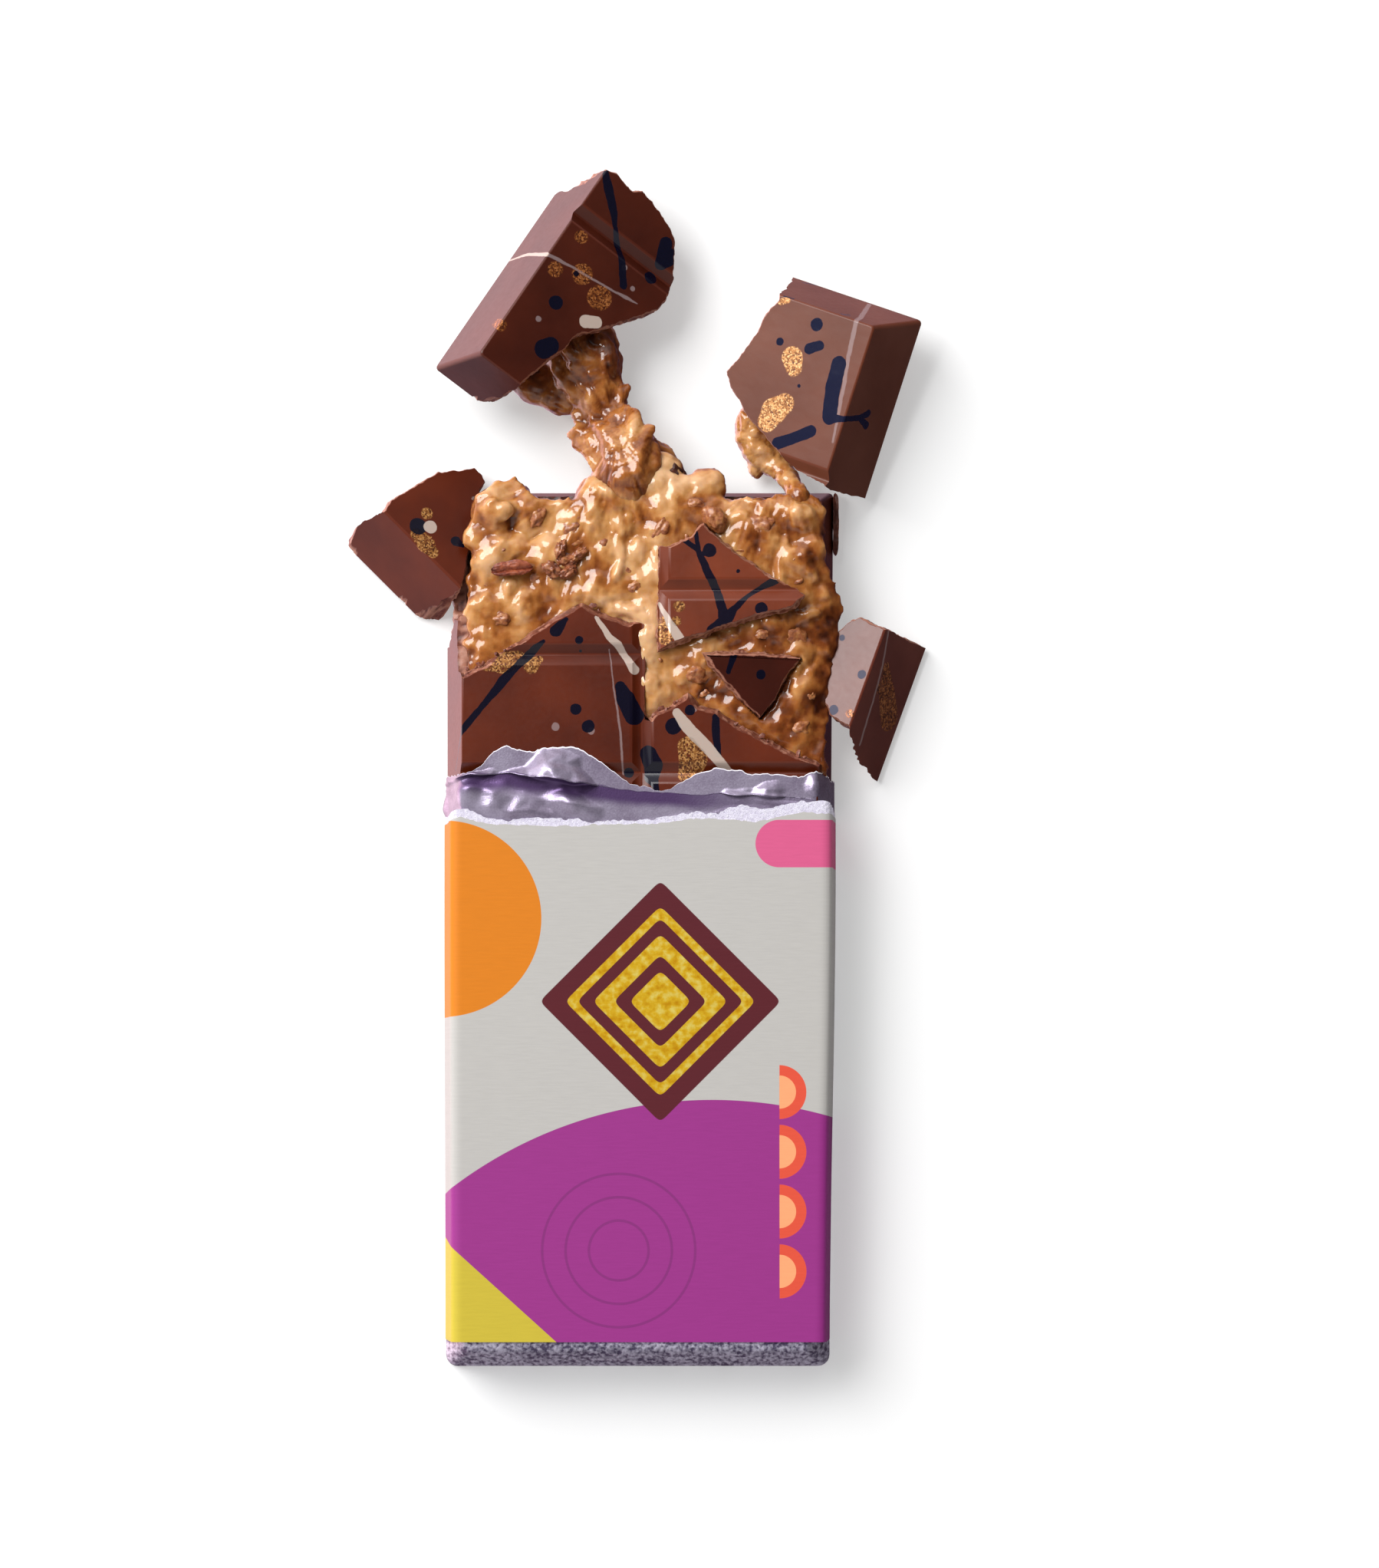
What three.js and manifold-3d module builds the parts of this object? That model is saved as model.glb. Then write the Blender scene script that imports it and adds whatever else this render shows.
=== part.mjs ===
// A filled milk chocolate bar in an opened pack. The far end of the bar is broken open: its corners
// and side walls lie around it as thin shell fragments, and the pretzel and nut cream filling bulges
// out and pulls to them. Millimetres, +Z up. The bar lies along Y with its unopened end at -Y, and it
// is laid out about its own middle.
import * as THREE from "three";
import { mergeVertices } from "three/addons/utils/BufferGeometryUtils.js";
import Module from "manifold-3d";

const wasm = await Module();
wasm.setup();

// Driving dimensions of the moulded bar
const BAR_WIDTH = 76;
const BAR_LENGTH = 172.4;
const BAR_HEIGHT = 15;
const DRAFT = 3.5; // how far each side leans in between the base and the top face
const SHELL = 3; // chocolate around the filling, on every side
const CORNER_RADIUS = 1.6;
const EDGE_ROUND = 0.4;

// The channels that divide the top face into two columns and seven rows
const GROOVE_TOP = 3.9;
const GROOVE_FLOOR = 1.7;
const GROOVE_DEPTH = 1.3;
const COLUMN_GROOVE_X = 0.4;
const FIRST_ROW = 27.3; // from the end of the top face to the first channel across it
const CORNER_ROW = 29.2; // the same on the loose right corner
const ROW_PITCH = 23;
const ROW_GROOVES = 6;

// Sheets around the bar
const SLIP = 0.1; // clearance between one wrapping and the next
const FOIL = 0.2;
const CARD = 0.3;
const GAP = 0.3; // clearance left where a broken piece touches its neighbour

const FOIL_OUT = SLIP + FOIL;
const CARD_IN = FOIL_OUT + SLIP;
const CARD_OUT = CARD_IN + CARD;
const BAR_FLOOR = CARD_OUT;
const BAR_TOP = BAR_FLOOR + BAR_HEIGHT;
const TOP_HALF_WIDTH = BAR_WIDTH / 2 - DRAFT;
const TOP_HALF_LENGTH = BAR_LENGTH / 2 - DRAFT;
const CAVITY_FLOOR = BAR_FLOOR + SHELL;
const CAVITY_TOP = BAR_TOP - SHELL;
const FAR = 200; // reaches past the whole object
const OVER = 5; // how far a cutter stands out of the face that it opens
const MERGE_DISTANCE = 1e-4; // corners closer than this are one corner

// Where the pack ends
const CARD_END_Y = -80.6;
const CARD_TEAR_Y = 20.6;
const PACKED_Y = 24; // the bar is whole up to here

function finish(name, color, roughness, metalness = 0) {
  return new THREE.MeshStandardMaterial({ name, color, roughness, metalness });
}

const MATERIALS = {
  chocolate: finish("chocolate", 0x5c2a1e, 0.38),
  filling: finish("filling", 0xc79555, 0.3),
  crumb: finish("crumb", 0x8a4a2a, 0.6),
  foil: finish("foil", 0x9c8fc0, 0.35, 0.6),
  card: finish("card", 0xc9c6c3, 0.55),
};

// A three.js geometry as a solid that can be cut and joined
function solid(geometry) {
  const bare = geometry.clone();
  bare.deleteAttribute("normal");
  bare.deleteAttribute("uv");
  const merged = mergeVertices(bare, MERGE_DISTANCE);
  return new wasm.Manifold(
    new wasm.Mesh({
      numProp: 3,
      vertProperties: merged.attributes.position.array,
      triVerts: new Uint32Array(merged.index.array),
    }),
  );
}

// A solid as a named mesh
function meshOf(name, shape, material) {
  const made = shape.getMesh();
  const geometry = new THREE.BufferGeometry();
  geometry.setAttribute("position", new THREE.BufferAttribute(new Float32Array(made.vertProperties), 3));
  geometry.setIndex(new THREE.BufferAttribute(new Uint32Array(made.triVerts), 1));
  geometry.computeVertexNormals();
  const mesh = new THREE.Mesh(geometry, material);
  mesh.name = name;
  return mesh;
}

// Moves every vertex of a geometry by a function of its place
function reshape(geometry, move) {
  const position = geometry.attributes.position;
  const point = new THREE.Vector3();
  for (let i = 0; i < position.count; i++) {
    point.fromBufferAttribute(position, i);
    move(point);
    position.setXYZ(i, point.x, point.y, point.z);
  }
  return geometry;
}

function roundedRectangle(width, length, radius) {
  const x = width / 2;
  const y = length / 2;
  const shape = new THREE.Shape();
  shape.moveTo(-x + radius, -y);
  shape.lineTo(x - radius, -y);
  shape.absarc(x - radius, -y + radius, radius, -Math.PI / 2, 0, false);
  shape.lineTo(x, y - radius);
  shape.absarc(x - radius, y - radius, radius, 0, Math.PI / 2, false);
  shape.lineTo(-x + radius, y);
  shape.absarc(-x + radius, y - radius, radius, Math.PI / 2, Math.PI, false);
  shape.lineTo(-x, -y + radius);
  shape.absarc(-x + radius, -y + radius, radius, Math.PI, 1.5 * Math.PI, false);
  return shape;
}

// The moulded form, grown outwards by a margin: a block whose four sides lean in towards the top
function mouldedBlock(margin, round = EDGE_ROUND) {
  const height = BAR_HEIGHT + 2 * margin;
  const outline = roundedRectangle(
    BAR_WIDTH + 2 * margin - 2 * round,
    BAR_LENGTH + 2 * margin - 2 * round,
    Math.max(CORNER_RADIUS + margin - round, 0.3),
  );
  const block = new THREE.ExtrudeGeometry(outline, {
    depth: height - 2 * round,
    curveSegments: 3,
    bevelEnabled: round > 0,
    bevelThickness: round,
    bevelSize: round,
    bevelSegments: 2,
  });
  block.translate(0, 0, BAR_FLOOR - margin + round);
  reshape(block, (p) => {
    const lean = (DRAFT * (p.z - (BAR_FLOOR - margin))) / height;
    p.x -= Math.sign(p.x) * lean;
    p.y -= Math.sign(p.y) * lean;
  });
  return solid(block);
}

// The space that the filling takes in the whole bar, shrunk by a margin. Its bottom can be pushed
// down to open it.
function cavity(margin, floor = CAVITY_FLOOR + margin) {
  const top = CAVITY_TOP - margin;
  const base = new THREE.BoxGeometry(1, 1, top - floor);
  base.translate(0, 0, (top + floor) / 2);
  reshape(base, (p) => {
    const lean = (DRAFT * (p.z - BAR_FLOOR)) / BAR_HEIGHT;
    p.x *= BAR_WIDTH - 2 * (SHELL + margin + lean);
    p.y *= BAR_LENGTH - 2 * (SHELL + margin + lean);
  });
  return solid(base);
}

// One channel, cut along Y and centred on the top face
function channel(length) {
  const profile = new THREE.Shape();
  const over = 1; // the cutter stands this far out of the face
  const flare = ((GROOVE_TOP - GROOVE_FLOOR) / 2) * (over / GROOVE_DEPTH);
  profile.moveTo(-GROOVE_FLOOR / 2, -GROOVE_DEPTH);
  profile.lineTo(GROOVE_FLOOR / 2, -GROOVE_DEPTH);
  profile.lineTo(GROOVE_TOP / 2 + flare, over);
  profile.lineTo(-GROOVE_TOP / 2 - flare, over);
  profile.closePath();
  const cutter = new THREE.ExtrudeGeometry(profile, { depth: length, bevelEnabled: false });
  cutter.translate(0, 0, -length / 2);
  cutter.rotateX(Math.PI / 2);
  return cutter;
}

function grooves(firstRow) {
  const along = channel(BAR_LENGTH * 1.1);
  along.translate(COLUMN_GROOVE_X, 0, BAR_TOP);
  let cut = solid(along);
  for (let row = 0; row < ROW_GROOVES; row++) {
    const across = channel(BAR_WIDTH * 1.1);
    across.rotateZ(Math.PI / 2);
    across.translate(0, TOP_HALF_LENGTH - firstRow - GROOVE_TOP / 2 - row * ROW_PITCH, BAR_TOP);
    cut = cut.add(solid(across));
  }
  return cut;
}

// An upright prism over an outline of [x, y] points
function prism(points, low, high) {
  const outline = new THREE.Shape(points.map(([x, y]) => new THREE.Vector2(x, y)));
  const body = new THREE.ExtrudeGeometry(outline, { depth: high - low, bevelEnabled: false });
  body.translate(0, 0, low);
  return solid(body);
}

function box(low, high) {
  const size = high.map((value, i) => value - low[i]);
  const body = new THREE.BoxGeometry(...size);
  body.translate(...low.map((value, i) => value + size[i] / 2));
  return solid(body);
}

// A solid with room around it: itself, joined with copies shifted by the gap
function withGap(shape, gap = GAP) {
  let grown = shape;
  for (const axis of [0, 1, 2]) {
    for (const side of [-gap, gap]) {
      const shift = [0, 0, 0];
      shift[axis] = side;
      grown = grown.add(shape.translate(shift));
    }
  }
  return grown;
}

const block = mouldedBlock(0);
const wholeBar = block.subtract(grooves(FIRST_ROW));

// The top face is broken away from a little below its underside
const PLATE_OVERLAP = 0.6;
// A splinter of the top face is a little thinner than the shell
const SPLINTER_LOSS = 0.4;

// Broken edges of the top face that is left on the bar, from the column groove outwards
const LEFT_PLATE_BREAK = [
  [COLUMN_GROOVE_X, 58.9], [-2.2, 59], [-5.1, 59.7], [-9.3, 61.3], [-11.3, 62.6], [-15, 60.6],
  [-17.3, 59.3], [-19, 57.9], [-21.8, 56], [-24.4, 54.5], [-28.1, 51.9], [-30.6, 50.2], [-34.2, 48.8],
  [-40, 50.6],
];
const RIGHT_PLATE_BREAK = [
  [40, 29], [35.2, 30.9], [29, 33.8], [23.9, 36.2], [18.8, 38.9], [14.7, 41.7], [11.1, 42.6], [9.3, 45.1],
  [7.8, 43.7], [6, 42.4], [3.4, 41.5], [2.4, 40.2], [COLUMN_GROOVE_X, 40.1],
];

// Heights at which the walls have broken off: outline in plan and the height that is left
const WALL_BREAKS = [
  { outline: [[-40, 78.5], [40, 78.5], [40, 90], [-40, 90]], height: 6.4 },
  { outline: [[-40, 62.5], [-30, 60.5], [-30, 90], [-40, 90]], height: 6.2 },
  { outline: [[-40, 51.8], [-30, 51.8], [-30, 61], [-40, 61]], height: 11.4 },
  { outline: [[30, 66.5], [40, 67.5], [40, 79], [30, 79]], height: 11.6 },
  { outline: [[30, 54], [40, 55], [40, 68], [30, 68]], height: 7.2 },
  { outline: [[30, 29.5], [40, 27.5], [40, 55], [30, 55]], height: 9.2 },
];

// A bite out of the left edge, all the way down
const CHIPPED_EDGE = [[-40, 54.4], [-37.4, 55.6], [-36.7, 59], [-36.5, 63.5], [-37.2, 67], [-40, 68.5]];

function brokenBar() {
  const opened = [...RIGHT_PLATE_BREAK, ...LEFT_PLATE_BREAK, [-45, 100], [45, 100]];
  let bar = wholeBar.subtract(cavity(0)).subtract(prism(opened, CAVITY_TOP - PLATE_OVERLAP, FAR));
  bar = bar.subtract(prism(CHIPPED_EDGE, -1, FAR));
  for (const { outline, height } of WALL_BREAKS) {
    bar = bar.subtract(prism(outline, height, FAR));
  }
  return bar;
}

// A shell fragment of the same moulding. Its outline is given about an origin on the edge of the top face.
function shellFragment(origin, outline, moulding = wholeBar) {
  const shell = moulding.subtract(cavity(0, -FAR));
  const local = shell.translate([-origin[0], -origin[1], -BAR_TOP]);
  return local.intersect(prism(outline, -BAR_HEIGHT - OVER, OVER));
}

// A flat splinter of the top face alone
function plateFragment(origin, outline) {
  const local = wholeBar.translate([-origin[0], -origin[1], -BAR_TOP]);
  return local.intersect(prism(outline, -SHELL + SPLINTER_LOSS, OVER));
}

const TOP_LEFT = [-TOP_HALF_WIDTH, TOP_HALF_LENGTH];
const TOP_RIGHT = [TOP_HALF_WIDTH, TOP_HALF_LENGTH];

const CORNER_LEFT_OUTLINE = [
  [-5, 5], [-5, -3.5], [-3.3, -3.8], [-2.8, -7.2], [-1.9, -9.1], [-0.7, -9.9], [3.5, -11],
  [9.7, -12.9], [15.1, -13.9], [18.9, -17], [22.8, -20], [25.7, -22], [29.1, -24], [32.2, -24.6],
  [36.1, -23.4], [39.1, -21.6], [42.7, -19.4], [44.3, -17.2], [46.2, -11.2], [46.8, -8.3],
  [45.6, -6.9], [46.4, -2.2], [45.6, -0.1], [41.2, 1.5], [39.5, 3.6], [39, 5],
];
const CORNER_RIGHT_OUTLINE = [
  [5, 5], [-26, 5], [-24.3, 3.1], [-21.4, 0.3], [-21, -1.1], [-22.8, -4.8], [-23.3, -8.6],
  [-24.5, -11.8], [-25.6, -14.9], [-27, -17.6], [-24.9, -20.2], [-20.7, -24.1], [-17.3, -25.9],
  [-12.5, -28.6], [-6.9, -31.2], [-4, -31.8], [-0.7, -32.1], [0.7, -32.7], [5, -32.6],
];
const SIDE_LEFT_OUTLINE = [
  [0, 0.4], [3, 1.2], [7.4, 0.4], [15, -0.9], [17.4, -2.5], [21.2, -5.1], [21.6, -7], [20.8, -8.7],
  [18.6, -9.2], [17.2, -10.8], [12.6, -13], [10.9, -14.6], [8.2, -16.2], [5, -18.1], [1, -20.7],
  [0, -21.1], [-1.1, -19.9], [-2.7, -18.1], [-3, -17], [-3.1, -15.3], [-2.9, -14.1], [-3.1, -12.9],
  [-3.7, -11.3], [-3.7, -2], [-3.1, -0.4], [-2.3, 1.5], [-1.9, 2.3], [-1, 1.4],
];
const SIDE_RIGHT_OUTLINE = [
  [0, 0.2], [-5.8, 0.9], [-7.2, -0.1], [-8.9, -3.7], [-10.1, -6.6], [-9.9, -9.1], [-10.2, -11.3],
  [-9.6, -13.5], [-8.1, -15.4], [-6.2, -17.7], [-5.2, -19], [-2.3, -19.9], [-0.3, -20.1],
  [0.4, -22.2], [0.9, -23.7], [1.7, -25.2], [2.8, -26.4], [3.6, -27.2], [5, -27.4], [5, 0.1],
];
const SHARD_OUTLINE = [
  [-3.4, 7.9], [0.6, 7.8], [2.8, 8.7], [4.7, 9.8], [5.4, 10.9], [7.1, 12.1], [11.1, 8.3], [17.5, 3.6],
  [26.4, -1.7], [24.7, -4], [17.1, -5.7], [8.1, -8.9], [3.9, -10.1], [-1.8, -12.1], [-2.3, -6.1],
];
const CHIP_OUTLINE = [
  [-9.4, 5.4], [-5.6, 5.6], [0.8, 5.6], [9.4, 4.7], [6.8, 1.4], [3.9, -4], [1.5, -6.8],
  [-1.7, -4], [-4.8, -0.2], [-7.9, 2.8],
];

// How each loose fragment lies: where its origin is, how far it is turned about Z, and which way its
// face tips
const FRAGMENTS = [
  {
    name: "left_corner_piece", shape: shellFragment(TOP_LEFT, CORNER_LEFT_OUTLINE),
    at: [-30.9, 110.9], turn: 55.4, tipTowards: [0.99, 0.12], tip: 18.8,
  },
  {
    name: "right_corner_piece",
    shape: shellFragment(TOP_RIGHT, CORNER_RIGHT_OUTLINE, block.subtract(grooves(CORNER_ROW))),
    at: [45.4, 116.3], turn: -19.8, tipTowards: [-0.994, -0.11], tip: 23.3,
  },
  {
    name: "left_wall_piece", shape: shellFragment([-TOP_HALF_WIDTH, 78], SIDE_LEFT_OUTLINE),
    at: [-49.6, 81.1], turn: 45, tipTowards: [0.707, 0.707], tip: 26.4,
  },
  {
    name: "right_wall_piece", shape: shellFragment([TOP_HALF_WIDTH, 80], SIDE_RIGHT_OUTLINE),
    at: [47.6, 58.1], turn: -20, tipTowards: [-0.939, 0.343], tip: 22.7,
  },
  {
    name: "top_shard", shape: plateFragment([2, 53.9], SHARD_OUTLINE),
    at: [5.3, 66.4], turn: 0, tipTowards: [-0.5, 0.87], tip: 3, rise: 17.2,
  },
  {
    name: "top_chip", shape: plateFragment([18, 43], CHIP_OUTLINE),
    at: [22, 47.8], turn: 0, tipTowards: [0.75, -0.66], tip: 13, rise: 15.4,
  },
];

// The placing of one fragment: turned flat, then tipped, then set down so that it just reaches the ground
function placing({ shape, at, turn, tipTowards, tip, rise }) {
  const axis = new THREE.Vector3(-tipTowards[1], tipTowards[0], 0).normalize();
  const tipped = new THREE.Quaternion().setFromAxisAngle(axis, THREE.MathUtils.degToRad(tip));
  const turned = new THREE.Quaternion().setFromAxisAngle(
    new THREE.Vector3(0, 0, 1),
    THREE.MathUtils.degToRad(turn),
  );
  const rotation = tipped.multiply(turned);
  const flat = new THREE.Matrix4().makeRotationFromQuaternion(rotation);
  const lowest = shape.transform(flat.elements).boundingBox().min[2];
  const position = new THREE.Vector3(at[0], at[1], rise ?? -lowest);
  const unit = new THREE.Vector3(1, 1, 1);
  return { rotation, position, matrix: new THREE.Matrix4().compose(position, rotation, unit) };
}

for (const fragment of FRAGMENTS) {
  Object.assign(fragment, placing(fragment));
  fragment.placed = fragment.shape.transform(fragment.matrix.elements);
}

// Filling: soft lumps are flattened spheres, and pulls are rows of them along a curve
function lump([x, y, z], [rx, ry, rz], turn = 0) {
  const ball = new THREE.SphereGeometry(1, 9, 5);
  ball.rotateX(Math.PI / 2);
  ball.scale(rx, ry, rz);
  ball.rotateZ(turn);
  ball.translate(x, y, z);
  return solid(ball);
}

function pull(points, radii, count) {
  const curve = new THREE.CatmullRomCurve3(points.map((p) => new THREE.Vector3(...p)));
  let body = null;
  for (let i = 0; i < count; i++) {
    const along = i / (count - 1);
    const spot = curve.getPoint(along);
    const place = along * (radii.length - 1);
    const low = Math.floor(place);
    const high = Math.min(low + 1, radii.length - 1);
    const radius = THREE.MathUtils.lerp(radii[low], radii[high], place - low);
    const ball = lump([spot.x, spot.y, spot.z], [radius, radius, Math.min(radius, spot.z)], i * 0.7);
    body = body ? body.add(ball) : ball;
  }
  return body;
}

const FILLING_OUTLINE = [
  [-30.6, 84.8], [-29, 87.2], [-24.2, 89], [-19.6, 85.1], [-11.5, 85.1], [-8.7, 87.5], [-6.6, 90.4],
  [4.3, 90.4], [6.8, 87.5], [14.6, 84.2], [32.4, 84], [35, 82.1], [34.2, 76], [35.6, 71.1],
  [38.4, 66.9], [39.9, 62.1], [37.4, 58.5], [35.4, 46.5], [35.2, 39.2], [34.6, 33], [-34, 50.5],
  [-34.8, 54.7], [-34, 58.2], [-34.8, 61.7], [-34, 66], [-32.2, 73.9], [-32.2, 79.3],
];
const SPILL_FLOOR = 8.3; // the filling lies over the broken walls from here up
const MOUND_LOW = 4;
const MOUND_WIDTH = 84;
const MOUND_DEPTH = 66;
const MOUND_MIDDLE_Y = 60;
const MOUND_HEIGHT = 13.2;

// The uneven top of the opened filling, lower towards its outer edges
function moundHeight(x, y) {
  const swell = 0.9 * Math.sin(x * 0.31 + 1.2) * Math.cos(y * 0.27 - 0.6);
  const ripple = 0.6 * Math.sin(x * 0.83 + y * 0.41) * Math.sin(y * 0.71 - x * 0.22);
  const outside = Math.max(0, (Math.abs(x) - 28) / 9) + Math.max(0, (y - 80) / 9);
  return MOUND_HEIGHT + swell + ripple - 1.6 * outside;
}

function mound() {
  const block = new THREE.BoxGeometry(MOUND_WIDTH, MOUND_DEPTH, 1, 22, 17, 1);
  reshape(block, (p) => {
    p.y += MOUND_MIDDLE_Y;
    p.z = p.z > 0 ? moundHeight(p.x, p.y) : MOUND_LOW;
  });
  const spilled = solid(block).intersect(prism(FILLING_OUTLINE, SPILL_FLOOR, FAR));
  const held = cavity(GAP).intersect(box([-45, PACKED_Y, 0], [45, 100, SPILL_FLOOR + 0.5]));
  const covered = cavity(GAP).intersect(box([-45, PACKED_Y, 0], [45, 62, FAR]));
  return spilled.add(held).add(covered);
}

const PULL_LEFT = pull(
  [
    [-2.6, 88.5, 9], [-2.6, 92.5, 7.6], [-4.4, 95.5, 6.4], [-6.8, 99.2, 5.4], [-8.6, 104.5, 5.4],
    [-10.2, 110.5, 6],
  ],
  [8, 7.4, 6, 5.2, 6.2, 7.6],
  8,
);
// Filling that the left corner piece still holds
const HELD_OUTER = lump([-19.5, 107.5, 3.4], [8, 4.4, 3.4], -0.3);
const HELD_INNER = lump([-11.5, 116.5, 5.6], [7.4, 6.4, 5.6], 0.4);
const PULL_RIGHT = pull(
  [[30.2, 86, 9], [28.3, 89.2, 6.3], [25.8, 91.8, 4.8], [22.8, 95, 4.4], [22.6, 99.5, 4.4], [29, 101.5, 4]],
  [4.6, 2.4, 3, 3.7, 4.4, 4.8],
  8,
);

const bar = brokenBar();
let room = withGap(bar);
for (const fragment of FRAGMENTS) {
  room = room.add(withGap(fragment.placed));
}

// Bits that are set in the filling: centre, half sizes and turn
const CRUMBS = [
  { name: "nut_cluster", at: [-14.6, 71.9, 14.2], size: [4.2, 3.2, 2.2], turn: 0.6 },
  { name: "chocolate_flake", at: [-24.9, 70, 14.4], size: [4, 1.6, 1.2], turn: 0.1 },
  { name: "pretzel_crumb", at: [14.5, 79.8, 14.6], size: [3, 2.4, 2], turn: -0.7 },
  { name: "dark_lump", at: [6.1, 88.4, 9.6], size: [2.7, 3.3, 2.8], turn: 0.3 },
];

function crumb({ at, size, turn }) {
  const rock = new THREE.DodecahedronGeometry(1, 1);
  reshape(rock, (p) => {
    const rough = 1 + 0.14 * Math.sin(5 * p.x + 2 * p.y) * Math.cos(4 * p.z - p.x);
    p.multiplyScalar(rough);
  });
  rock.scale(...size);
  rock.rotateZ(turn);
  rock.translate(...at);
  return solid(rock);
}

for (const bit of CRUMBS) {
  bit.body = crumb(bit).subtract(room);
}
for (const bit of CRUMBS) {
  room = room.add(withGap(bit.body));
}

// The filling that the walls and the whole top face still hold
function packedFilling() {
  return cavity(GAP).intersect(box([-45, -FAR, 0], [45, PACKED_Y + 1, FAR]));
}

// The largest connected body of a cut shape, without the slivers that the cut leaves
function mainBody(shape) {
  return shape.decompose().sort((a, b) => b.volume() - a.volume())[0];
}

const fillingBody = mainBody(packedFilling().add(mound()).subtract(room));
const aboveGround = box([-FAR, -FAR, 0], [FAR, FAR, FAR]);
const besideFilling = room.add(withGap(fillingBody));
const pulledLeft = PULL_LEFT.add(HELD_OUTER).add(HELD_INNER);
const pullLeft = mainBody(pulledLeft.intersect(aboveGround).subtract(besideFilling));
const pullRight = mainBody(PULL_RIGHT.intersect(aboveGround).subtract(besideFilling));

// A thin sliver of the side wall that stands off the bar's far right corner
const SPLINTER = { length: 10.6, thick: 1.1, height: 3.4, x: 39.6, y: 79.6, bow: 1.1 };

function splinter() {
  const { length, thick, height, x, y, bow } = SPLINTER;
  const body = new THREE.BoxGeometry(thick, length, height, 1, 6, 1);
  reshape(body, (p) => {
    const along = p.y / length + 0.5;
    p.x *= 1 - 0.7 * Math.abs(along - 0.5);
    p.x += x - bow * Math.sin(along * Math.PI * 0.9);
    p.y += y;
    p.z += height / 2 + 0.05 + 0.5 * along;
  });
  return solid(body);
}

// Torn foil: the edge of the layer that lies on the chocolate, and the fold in front of it
const FOIL_TEAR = [
  [-45, 28.6], [-38.2, 30], [-33.8, 30], [-30.2, 32.1], [-28, 34.5], [-25.6, 35.4], [-22.1, 34.4],
  [-18.4, 35.1], [-13.1, 35.4], [-11, 34.8], [-8.9, 33.2], [-4.1, 29.7], [-0.4, 27.9], [3.3, 26.8],
  [6, 27], [7.3, 28.1], [10.2, 29.7], [14.5, 31.2], [18.2, 30.7], [22.9, 30.1], [29.8, 29.7],
  [35.7, 30.4], [38.2, 29.2], [45, 28.6],
];

// The torn foil is also folded back in front of the card: a thin flap that rises away from the card's edge
const FLAP_WIDTH = BAR_WIDTH - 9;
const FLAP_DEPTH = 7.2;
const FLAP_THICK = 0.5;
const FLAP_START = CARD_TEAR_Y + 1.6;
const FLAP_RISE = 0.35; // rise for each millimetre away from the card
const FLAP_SKEW = 0.027; // the flap is deeper on its left

function foilFlap() {
  const flap = new THREE.BoxGeometry(FLAP_WIDTH, FLAP_DEPTH, FLAP_THICK, 12, 6, 1);
  return reshape(flap, (p) => {
    const out = p.y + FLAP_DEPTH / 2;
    p.y = FLAP_START + out - (FLAP_SKEW * (p.x + 30) * out) / FLAP_DEPTH;
    p.z += BAR_TOP + FOIL_OUT + FLAP_RISE * out;
  });
}

function foilWrap() {
  const tube = mouldedBlock(FOIL_OUT).subtract(mouldedBlock(SLIP));
  const packed = prism([[-45, -FAR], ...FOIL_TEAR, [45, -FAR]].reverse(), -1, FAR);
  return mainBody(tube.intersect(packed).add(solid(foilFlap())).subtract(mouldedBlock(SLIP)));
}

// Card band: a leaning-sided tube with rounded long edges, torn off raggedly at the opened end
const CARD_TEAR = [
  [-45, 21.6], [-37, 20.6], [-33.2, 21.7], [-28.6, 20.4], [-17, 19.8], [-4.8, 20.3], [3, 20.3],
  [12.4, 21.5], [21.8, 20.7], [29.9, 22.6], [37.8, 21.9], [45, 21.9],
];

function bandSection(margin) {
  const half = BAR_WIDTH / 2 + margin;
  const height = BAR_HEIGHT + 2 * margin;
  const top = half - DRAFT;
  const radius = 0.5 + margin;
  const corners = [[-half, 0], [half, 0], [top, height], [-top, height]];
  const shape = new THREE.Shape();
  corners.forEach(([x, z], i) => {
    const before = new THREE.Vector2(...corners[(i + 3) % 4]);
    const after = new THREE.Vector2(...corners[(i + 1) % 4]);
    const corner = new THREE.Vector2(x, z);
    const start = corner.clone().add(before.sub(corner).setLength(radius));
    const end = corner.clone().add(after.sub(corner).setLength(radius));
    if (i === 0) {
      shape.moveTo(start.x, start.y);
    } else {
      shape.lineTo(start.x, start.y);
    }
    shape.quadraticCurveTo(corner.x, corner.y, end.x, end.y);
  });
  shape.closePath();
  return shape;
}

function bandTube(margin, low, high) {
  const body = new THREE.ExtrudeGeometry(bandSection(margin), {
    depth: high - low,
    curveSegments: 3,
    bevelEnabled: false,
  });
  body.rotateX(Math.PI / 2);
  body.translate(0, high, BAR_FLOOR - margin);
  return solid(body);
}

function cardBand() {
  const tube = bandTube(CARD_OUT, CARD_END_Y, CARD_TEAR_Y + 4).subtract(
    bandTube(CARD_IN, CARD_END_Y - 1, CARD_TEAR_Y + 5),
  );
  const kept = prism([[-45, -FAR], ...CARD_TEAR, [45, -FAR]].reverse(), -1, FAR);
  return tube.intersect(kept);
}

const cardShape = cardBand();
const object = new THREE.Group();
object.name = "opened_bar";

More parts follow.
